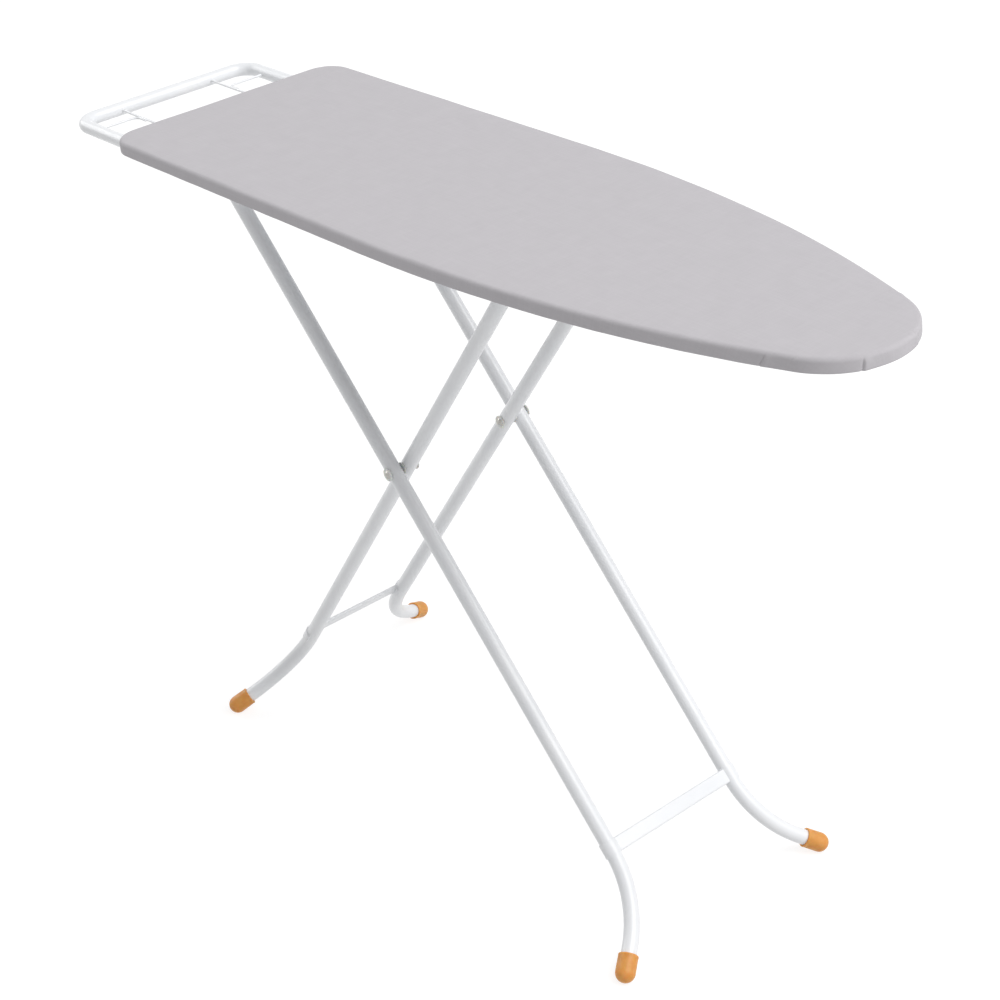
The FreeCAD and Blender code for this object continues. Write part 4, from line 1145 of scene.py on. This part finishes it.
    def pad(self, paints: Paints) -> bpy.types.Object:
        """Felt pad: crowned over the panel, with a side that is fullest in the middle.

        The side draws in to a soft edge above and below, by pad_edge times (1 - cos a) squared, with a
        from straight up to straight down. Above, it also keeps clear of the cover's edge rounding.

        Args:
            paints: the materials.

        Returns:
            The piece.
        """
        station = self.outline.stations(self.half_stations // 2, [])
        gap = self.cloth + self.pad_gap
        high = self.top - gap
        low = self.top - self.cloth - self.pad_depth
        middle = (high + low) / 2
        turn = np.linspace(QUARTER, -QUARTER, self.pad_edge_rings)
        levels = middle + (high - low) / 2 * np.sin(turn)
        above = np.maximum(levels - (self.top - self.edge_round), 0)
        curve = np.sqrt(np.maximum((self.edge_round - gap) ** 2 - above**2, 0))
        insets = self.edge_round - curve + self.pad_edge * (1 - np.cos(turn)) ** 2
        crown = self.crown(self.loop(self.crown_inset, station)[0], np.linspace(0, 1, self.pad_rings))
        rings = [np.column_stack([spots, high + self.softness(spots)]) for spots in crown]
        for inset, level in zip(insets, levels):
            spots, _ = self.loop(inset, station)
            part = smooth_step(level, middle, high)
            rings.append(np.column_stack([spots, level + part * self.softness(spots)]))
        rings += [np.column_stack([spots, np.full(len(spots), low)]) for spots in crown[::-1]]
        surface = Surface(np.concatenate(rings), quads(len(rings), len(rings[0])))
        made = surface.piece("felt_pad", "felt_pad", "board", paints)
        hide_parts("pad")
        return made

    def elastic(self, paints: Paints) -> bpy.types.Object:
        """Elastic sewn under the inner edge of the hem, carried along the gathers.

        Its section is a full oval: cos a times half the width, and |sin a| to the power of the fullness,
        with its sign, times half the depth.

        Args:
            paints: the materials.

        Returns:
            The piece.
        """
        station = self.outline.stations(self.half_stations, [])
        arc = self.round_trip(station)
        half = self.elastic_width / 2
        middle = self.hem - half
        rings, flats = [], []
        for angle in np.arange(self.elastic_points) * ROUND / self.elastic_points:
            spots, _ = self.loop(middle + half * math.cos(angle), station)
            lift = self.gathers(spots, arc, middle)
            upright = math.copysign(abs(math.sin(angle)) ** self.elastic_fullness, math.sin(angle))
            drop = self.elastic_depth / 2 * (1 - upright)
            rings.append(np.column_stack([spots, self.bottom - drop + lift]))
            flats.append(np.column_stack([arc, np.full(len(arc), self.elastic_width * angle / ROUND)]))
        rings.append(rings[0])
        flats.append(flats[0])
        surface = Surface(np.concatenate(rings), quads(len(rings), len(arc)), np.concatenate(flats))
        made = surface.piece("hem_band", "elastic", "board", paints)
        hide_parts("hem_elastic")
        return made

    def stitches(self, paints: Paints) -> bpy.types.Object:
        """Stitches along the hem: the same small capsule at even steps round the hem.

        With s from -1 to 1 along a stitch, its thickness is the thread's radius times the root of
        (stitch_blunt - s squared), and its middle hangs by the radius times stitch_bow (1 - s squared).

        Args:
            paints: the materials.

        Returns:
            The piece.
        """
        half = self.outline.lengths().sum()
        station = np.linspace(0, half, int(half / self.stitch_pitch))
        spots, outward = self.loop(self.stitch_inset, station)
        along = np.stack([-outward[:, 1], outward[:, 0]], axis=1)
        height = self.bottom + self.gathers(spots, self.round_trip(station), self.stitch_inset)
        share = np.linspace(-1, 1, self.stitch_rings)
        angle = np.arange(self.stitch_points) * ROUND / self.stitch_points
        thick = self.thread_radius * np.sqrt(np.clip(self.stitch_blunt - share**2, 0, 1))
        hang = self.thread_radius * (self.stitch_bow - self.stitch_bow * share**2)
        lengthwise = np.repeat(share * self.stitch_length / 2, self.stitch_points)
        sideways = (thick[:, None] * np.cos(angle)).ravel()
        upright = (thick[:, None] * np.sin(angle) - hang[:, None]).ravel()
        centres = np.column_stack([spots, height])[:, None, :]
        points = (centres + lengthwise[None, :, None] * np.pad(along, ((0, 0), (0, 1)))[:, None, :]
                  + sideways[None, :, None] * np.pad(outward, ((0, 0), (0, 1)))[:, None, :]
                  + upright[None, :, None] * np.array(UP))
        faces = quads(self.stitch_rings, self.stitch_points)
        firsts = np.arange(len(centres))[:, None, None] * self.stitch_rings * self.stitch_points
        surface = Surface(points.reshape(-1, 3), (faces[None] + firsts).reshape(-1, faces.shape[1]))
        return surface.piece("hem_stitches", "elastic", "board", paints)

    def build(self, paints: Paints) -> None:
        """Makes the cover, the pad, the elastic and the stitches, and works out the flat area: the outline's own,
        by the shoelace sum, plus the cloth that the section uses beyond the outline times the length of the
        outline.

        Args:
            paints: the materials.
        """
        cover = self.cover(paints)
        pad = self.pad(paints)
        sewn = [self.elastic(paints), self.stitches(paints)]
        used = float(self.section()[-1, 2]) - self.crown_inset
        x, y = self.loop(0.0, self.outline.stations(self.plan_stations, []))[0].T
        plan = abs(float(x @ np.roll(y, -1) - y @ np.roll(x, -1))) / 2
        area = plan + used * 2 * float(self.outline.lengths().sum())


# The legs


@dataclass
class LegFrame:
    """One of the two leg frames, drawn along its legs from the scissor rivets.

    X runs down the leg and Z away from it towards the top. The frame is then turned about Y, half round
    about Z for the inner one, and moved to the rivets. The offset is the distance of the hinge or axle
    from the leg's middle line, and leg_end how far the leg runs on beyond it. The track is the distance
    between the tips of the feet. Rows of the cap's profile are the distance from its mouth and the change
    of radius.
    """

    legs: Legs
    half_width: float
    offset: float
    foot_angle: float
    tube_radius: float = 9.5 * MM
    wall: float = 1.0 * MM
    leg_end: float = 13 * MM
    bend_radius: float = 145 * MM
    half_track: float = 162 * MM
    cap_radius: float = 12 * MM
    cap_length: float = 21 * MM
    cap_mouth: float = 0.8 * MM
    cap_play: float = 0.03 * MM
    cap_profile: tuple[tuple[float, float], ...] = (
        (2.2 * MM, 0.0), (2.9 * MM, -0.16 * MM), (3.4 * MM, -0.2 * MM), (8.0 * MM, -0.12 * MM),
        (14.0 * MM, -0.04 * MM), (19.0 * MM, 0.0))
    dome_rings: int = 16
    lip_rings: int = 9
    cap_points: int = 48

    def __post_init__(self) -> None:
        """Reads the rivets, hinge and axle from the joints, and works out where the foot bends."""
        self.turned = self.legs is Legs.INNER
        places = {joint["name"]: np.array(joint["pos_m"]) for joint in frame["joints"]}
        self.rivet = places["scissor_pivot"]
        end = places["axle_turn" if self.turned else "frame_fold"]
        slope = math.atan2(end[2] - self.rivet[2], abs(end[0] - self.rivet[0]))
        reach = float(np.linalg.norm(end - self.rivet))
        self.arm = math.sqrt(reach**2 - self.offset**2)
        lean = math.atan2(self.offset, self.arm)
        self.angle = slope + lean if self.turned else slope - lean
        down = (self.rivet[2] - self.cap_radius) / math.sin(self.angle)
        bow = self.bend_radius * (1 - math.cos(self.foot_angle))
        self.tail = (self.half_track - self.half_width - bow) / math.sin(self.foot_angle)
        self.tip = np.array([down, self.half_track, 0.0])

    def place(self, points: np.ndarray, side: Side) -> np.ndarray:
        """Turns points drawn for a left leg into the standing part.

        With the leg's angle a, X becomes x cos a + z sin a and Z becomes z cos a - x sin a.

        Args:
            points: three numbers each, from the rivets.
            side: the side that they belong on.

        Returns:
            The points in their places.
        """
        x, y, z = points[..., 0], points[..., 1], points[..., 2]
        across = x * math.cos(self.angle) + z * math.sin(self.angle)
        up = z * math.cos(self.angle) - x * math.sin(self.angle)
        facing = -1 if self.turned else 1
        return np.stack([facing * across, side.value * y, up], axis=-1) + self.rivet

    def foot_heading(self) -> np.ndarray:
        """Direction of the straight end of the foot."""
        return np.array([math.cos(self.foot_angle), math.sin(self.foot_angle), 0.0])

    def called(self, what: str, side: Side) -> str:
        """Name of a piece or a node of this frame on one side."""
        return f"{self.legs.value}_{what}_{side.name.lower()}"

    def stand(self, surface: Surface, name: str, slot: str, side: Side, paints: Paints) -> bpy.types.Object:
        """Makes a piece of a surface drawn for a left leg, in its place on one side.

        Args:
            surface: the surface, drawn from the rivets.
            name: the piece's name.
            slot: the record's material slot.
            side: the side that it belongs on.
            paints: the materials.

        Returns:
            The piece, riding on this frame.
        """
        standing = Surface(self.place(surface.points, side), surface.faces)
        return standing.piece(name, slot, f"{self.legs.value}_frame", paints)

    def leg(self, side: Side, paints: Paints) -> None:
        """Makes the bent tube from its open top end to the foot inside the cap.

        Args:
            side: the leg's side.
            paints: the materials.
        """
        knee = self.tip - self.foot_heading() * (self.tail + self.bend_radius * math.tan(self.foot_angle / 2))
        start = (-self.arm - self.leg_end, self.half_width, 0)
        tube = Route.bent([start, knee, self.tip], self.bend_radius, UP).hollow(self.tube_radius, self.wall)
        made = self.stand(tube, self.called("tube", side), "white_powder_coat", side, paints)
        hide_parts(self.called("leg", side))

    def cap(self, side: Side, paints: Paints) -> None:
        """Makes the domed cap: bore, rounded mouth, a shallow bead round the mouth and a faint taper.

        The mouth is half an ellipse across the wall, and the dome a quarter circle.

        Args:
            side: the foot's side.
            paints: the materials.
        """
        radius, mouth = self.cap_radius, self.cap_mouth
        bore = self.tube_radius + self.cap_play
        turn = np.linspace(0, QUARTER, self.dome_rings)
        lip = np.linspace(0, math.pi, self.lip_rings)[1:-1]
        lip_middle, lip_half = (radius + bore) / 2, (radius - bore) / 2
        body = np.array(self.cap_profile)
        along = np.concatenate([[self.cap_length, self.cap_length, mouth], mouth - mouth * np.sin(lip),
                                [mouth], body[:, 0], self.cap_length + radius * np.sin(turn)])
        radii = np.concatenate([[0, bore, bore], lip_middle - lip_half * np.cos(lip), [radius],
                                radius + body[:, 1], radius * np.cos(turn)])
        heading = self.foot_heading()
        ends = np.stack([self.tip - heading * self.cap_length, self.tip + heading * self.cap_radius])
        shell = Route(ends, np.array(UP)).tube(along, radii, self.cap_points)
        made = self.stand(shell, self.called("cap", side), "orange_plastic", side, paints)
        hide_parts(self.called("foot_cap", side))

    def build(self, paints: Paints) -> None:
        """Makes the legs and caps of both sides.

        Args:
            paints: the materials.
        """
        for side in Side:
            self.leg(side, paints)
            self.cap(side, paints)


# The iron rest


@dataclass
class IronRest:
    """The bent tube behind the top and the wires that an iron stands on.

    The long wires lie either side of the middle by wire_off_middle, and the bent wires cross the rest
    wire_cross in front of its end. Wires sink into each other by wire_weld where they touch, and run side
    by side for wire_lap. The steps are the distances between points on a bend and between rings.
    """

    tube_radius: float = 8.5 * MM
    wall: float = 1.2 * MM
    bend_radius: float = 27 * MM
    bend_step: float = 1.5 * MM
    ring_step: float = 4 * MM
    wire_radius: float = 1.6 * MM
    wire_off_middle: float = 69 * MM
    wire_cross: float = 46 * MM
    wire_bend: float = 9 * MM
    wire_bend_step: float = 0.8 * MM
    wire_weld: float = 0.6 * MM
    wire_lap: float = 12 * MM

    def __post_init__(self) -> None:
        """Takes the places of the tube and the last cross wire from their nodes."""
        low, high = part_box("rest_frame")
        self.end_x = low.x + self.tube_radius
        self.front_x = high.x
        self.arm_y = high.y - self.tube_radius
        self.level = (low.z + high.z) / 2
        self.wire_end_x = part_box("rest_wires")[1].x

    def tube(self, paints: Paints) -> None:
        """Makes the bent tube, open at the front ends of its two arms.

        Args:
            paints: the materials.
        """
        corners = [(self.front_x, self.arm_y, self.level), (self.end_x, self.arm_y, self.level),
                   (self.end_x, -self.arm_y, self.level), (self.front_x, -self.arm_y, self.level)]
        route = Route.bent(corners, self.bend_radius, UP, self.bend_step)
        surface = route.hollow(self.tube_radius, self.wall, self.ring_step)
        made = surface.piece("rest_tube", "white_powder_coat", "board", paints)
        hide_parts("rest_frame")

    def wires(self, paints: Paints) -> None:
        """Makes two long wires, the bent wire from each arm beside them, and the last cross wire below.

        Args:
            paints: the materials.
        """
        beside = 2 * self.wire_radius - self.wire_weld
        cross_x = self.end_x + self.wire_cross
        turn_x = cross_x + self.wire_bend + self.wire_lap
        last_x = self.wire_end_x - self.wire_lap / 2
        lower = self.level - beside
        routes = [Route.bent([(last_x, -self.arm_y, lower), (last_x, self.arm_y, lower)], 0, UP)]
        for side in Side:
            long_y = side.value * self.wire_off_middle
            lap_y = side.value * (self.wire_off_middle + beside)
            arm_y = side.value * self.arm_y
            straight = [(self.end_x, long_y, self.level), (self.wire_end_x, long_y, self.level)]
            turned = [(cross_x, arm_y, self.level), (cross_x, lap_y, self.level), (turn_x, lap_y, self.level)]
            routes.append(Route.bent(straight, 0, UP))
            routes.append(Route.bent(turned, self.wire_bend, UP, self.wire_bend_step))
        surface = Surface.joined([route.solid(self.wire_radius) for route in routes])
        made = surface.piece("rest_wire_grid", "white_powder_coat", "board", paints)
        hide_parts("rest_wires")

    def build(self, paints: Paints) -> None:
        """Makes the tube and the wires."""
        self.tube(paints)
        self.wires(paints)


# Floor, light and camera


@dataclass(frozen=True)
class Camera:
    """Where the camera stands and looks, in metres and degrees, and its lens in millimetres."""

    aim: tuple[float, float, float] = (0.00127, 0.00698, 0.42275)
    azimuth: float = 52.278
    elevation: float = 29.584
    roll: float = -5.630
    distance: float = 2.6545
    lens: float = 79.422
    sight: float = 100.0

    def build(self) -> None:
        """Makes the camera: its axes are right, up and back, turned by the roll about the view."""
        around, above, roll = (math.radians(a) for a in (self.azimuth, self.elevation, self.roll))
        level = Vector((math.cos(around), math.sin(around), 0))
        back = Vector((math.sin(around) * math.cos(above), -math.cos(around) * math.cos(above),
                       math.sin(above)))
        tall = back.cross(level)
        right = level * math.cos(roll) + tall * math.sin(roll)
        up = tall * math.cos(roll) - level * math.sin(roll)
        lens = bpy.data.cameras.new("camera")
        lens.lens = self.lens
        lens.clip_end = self.sight
        camera = bpy.data.objects.new("camera", lens)
        turn = Matrix((right, up, back)).transposed().to_4x4()
        camera.matrix_world = Matrix.Translation(Vector(self.aim) + back * self.distance) @ turn
        bpy.context.scene.collection.objects.link(camera)
        bpy.context.scene.camera = camera


@dataclass(frozen=True)
class SoftLamp:
    """A wide round lamp, so far off that both ends of the object get nearly the same light."""

    name: str
    place: tuple[float, float, float]
    size: float
    power: float

    def build(self) -> None:
        """Makes the lamp, turned to the middle of the floor."""
        light = bpy.data.lights.new(self.name, "AREA")
        light.shape = "DISK"
        light.size = self.size
        light.energy = self.power
        lamp = bpy.data.objects.new(self.name, light)
        lamp.location = self.place
        lamp.rotation_euler = Vector(self.place).to_track_quat("Z", "Y").to_euler()
        bpy.context.scene.collection.objects.link(lamp)


@dataclass(frozen=True)
class Studio:
    """White studio: a pale floor that glows a little, even sky light, a main lamp and a weak one.

    The floor's glow fills the shadows of the undersides. What the camera and mirrors see of the floor is
    another, brighter mix, which keeps a faint shadow of the object.
    """

    white: str = "#FFFFFF"
    floor_half: float = 30.0
    floor_colour: str = "#B8B8B8"
    floor_glow: float = 0.30
    seen_colour: str = "#909090"
    seen_glow: float = 0.82
    sky: float = 0.30
    lamps: tuple[SoftLamp, ...] = (
        SoftLamp("main_lamp", (6.7, 2.6, 9.5), size=11.0, power=1220.0),
        SoftLamp("fill_lamp", (-10.3, -2.6, 5.5), size=8.0, power=420.0),
    )

    def seen(self, tree: bpy.types.NodeTree) -> bpy.types.NodeSocket:
        """Tells what is seen from what only lights.

        Args:
            tree: the floor's or the world's node tree.

        Returns:
            1 for what the camera, a mirror or a glass sees directly, and 0 for light that falls on things.
        """
        ray = add_node(tree, "ShaderNodeLightPath")
        first = add_node(tree, "ShaderNodeMath", {"operation": "MAXIMUM"},
                         {0: ray.outputs["Is Camera Ray"], 1: ray.outputs["Is Glossy Ray"]})
        return add_node(tree, "ShaderNodeMath", {"operation": "MAXIMUM"},
                        {0: first.outputs[0], 1: ray.outputs["Is Transmission Ray"]}).outputs[0]

    def glowing(self, tree: bpy.types.NodeTree, colour: str, glow: float) -> bpy.types.NodeSocket:
        """Matt surface of a colour with a white glow added.

        Args:
            tree: the floor's node tree.
            colour: the matt colour.
            glow: strength of the glow.

        Returns:
            The shader.
        """
        matt = add_node(tree, "ShaderNodeBsdfDiffuse", {"Color": linear(colour)})
        light = add_node(tree, "ShaderNodeEmission", {"Color": linear(self.white), "Strength": glow})
        both = add_node(tree, "ShaderNodeAddShader", links={0: matt.outputs[0], 1: light.outputs[0]})
        return both.outputs[0]

    def world(self) -> None:
        """Even sky light, seen as white."""
        world = bpy.data.worlds.new("studio")
        tree = emptied(world)
        strength = add_node(tree, "ShaderNodeMapRange", {"To Min": self.sky, "To Max": 1.0},
                            {"Value": self.seen(tree)})
        sky = add_node(tree, "ShaderNodeBackground", {"Color": linear(self.white)},
                       {"Strength": strength.outputs["Result"]})
        add_node(tree, "ShaderNodeOutputWorld", links={"Surface": sky.outputs["Background"]})
        bpy.context.scene.world = world

    def floor(self) -> None:
        """Pale matt floor, seen nearly white with a faint shadow of the object."""
        material = bpy.data.materials.new("studio_floor")
        tree = emptied(material)
        lit = self.glowing(tree, self.floor_colour, self.floor_glow)
        shown = self.glowing(tree, self.seen_colour, self.seen_glow)
        mixed = add_node(tree, "ShaderNodeMixShader", links={0: self.seen(tree), 1: lit, 2: shown})
        add_node(tree, "ShaderNodeOutputMaterial", links={"Surface": mixed.outputs[0]})
        half = self.floor_half
        mesh = bpy.data.meshes.new("studio_floor")
        mesh.from_pydata([(-half, -half, 0), (half, -half, 0), (half, half, 0), (-half, half, 0)], [],
                         [(0, 1, 2, 3)])
        mesh.materials.append(material)
        floor = bpy.data.objects.new("studio_floor", mesh)
        bpy.context.scene.collection.objects.link(floor)

    def build(self) -> None:
        """Makes the studio and sets plain colour handling."""
        self.world()
        self.floor()
        for lamp in self.lamps:
            lamp.build()
        bpy.context.scene.view_settings.view_transform = "Standard"


def main() -> None:
    """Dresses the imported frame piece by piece, then sets the studio and the camera."""
    logging.basicConfig(level=logging.INFO, format="%(message)s")
    paints = Paints()
    paints.dress_nodes()
    low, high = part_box("cover")
    outline = TopOutline(rear_x=low.x, nose_x=high.x, half_width=high.y)
    PaddedTop(outline, top=high.z, bottom=low.z).build(paints)
    LegFrame(Legs.OUTER, half_width=97.5 * MM, offset=19 * MM, foot_angle=math.radians(46)).build(paints)
    LegFrame(Legs.INNER, half_width=77.1 * MM, offset=15.5 * MM, foot_angle=math.radians(57)).build(paints)
    IronRest().build(paints)
    Studio().build()
    Camera().build()


if __name__ == "__main__":
    main()
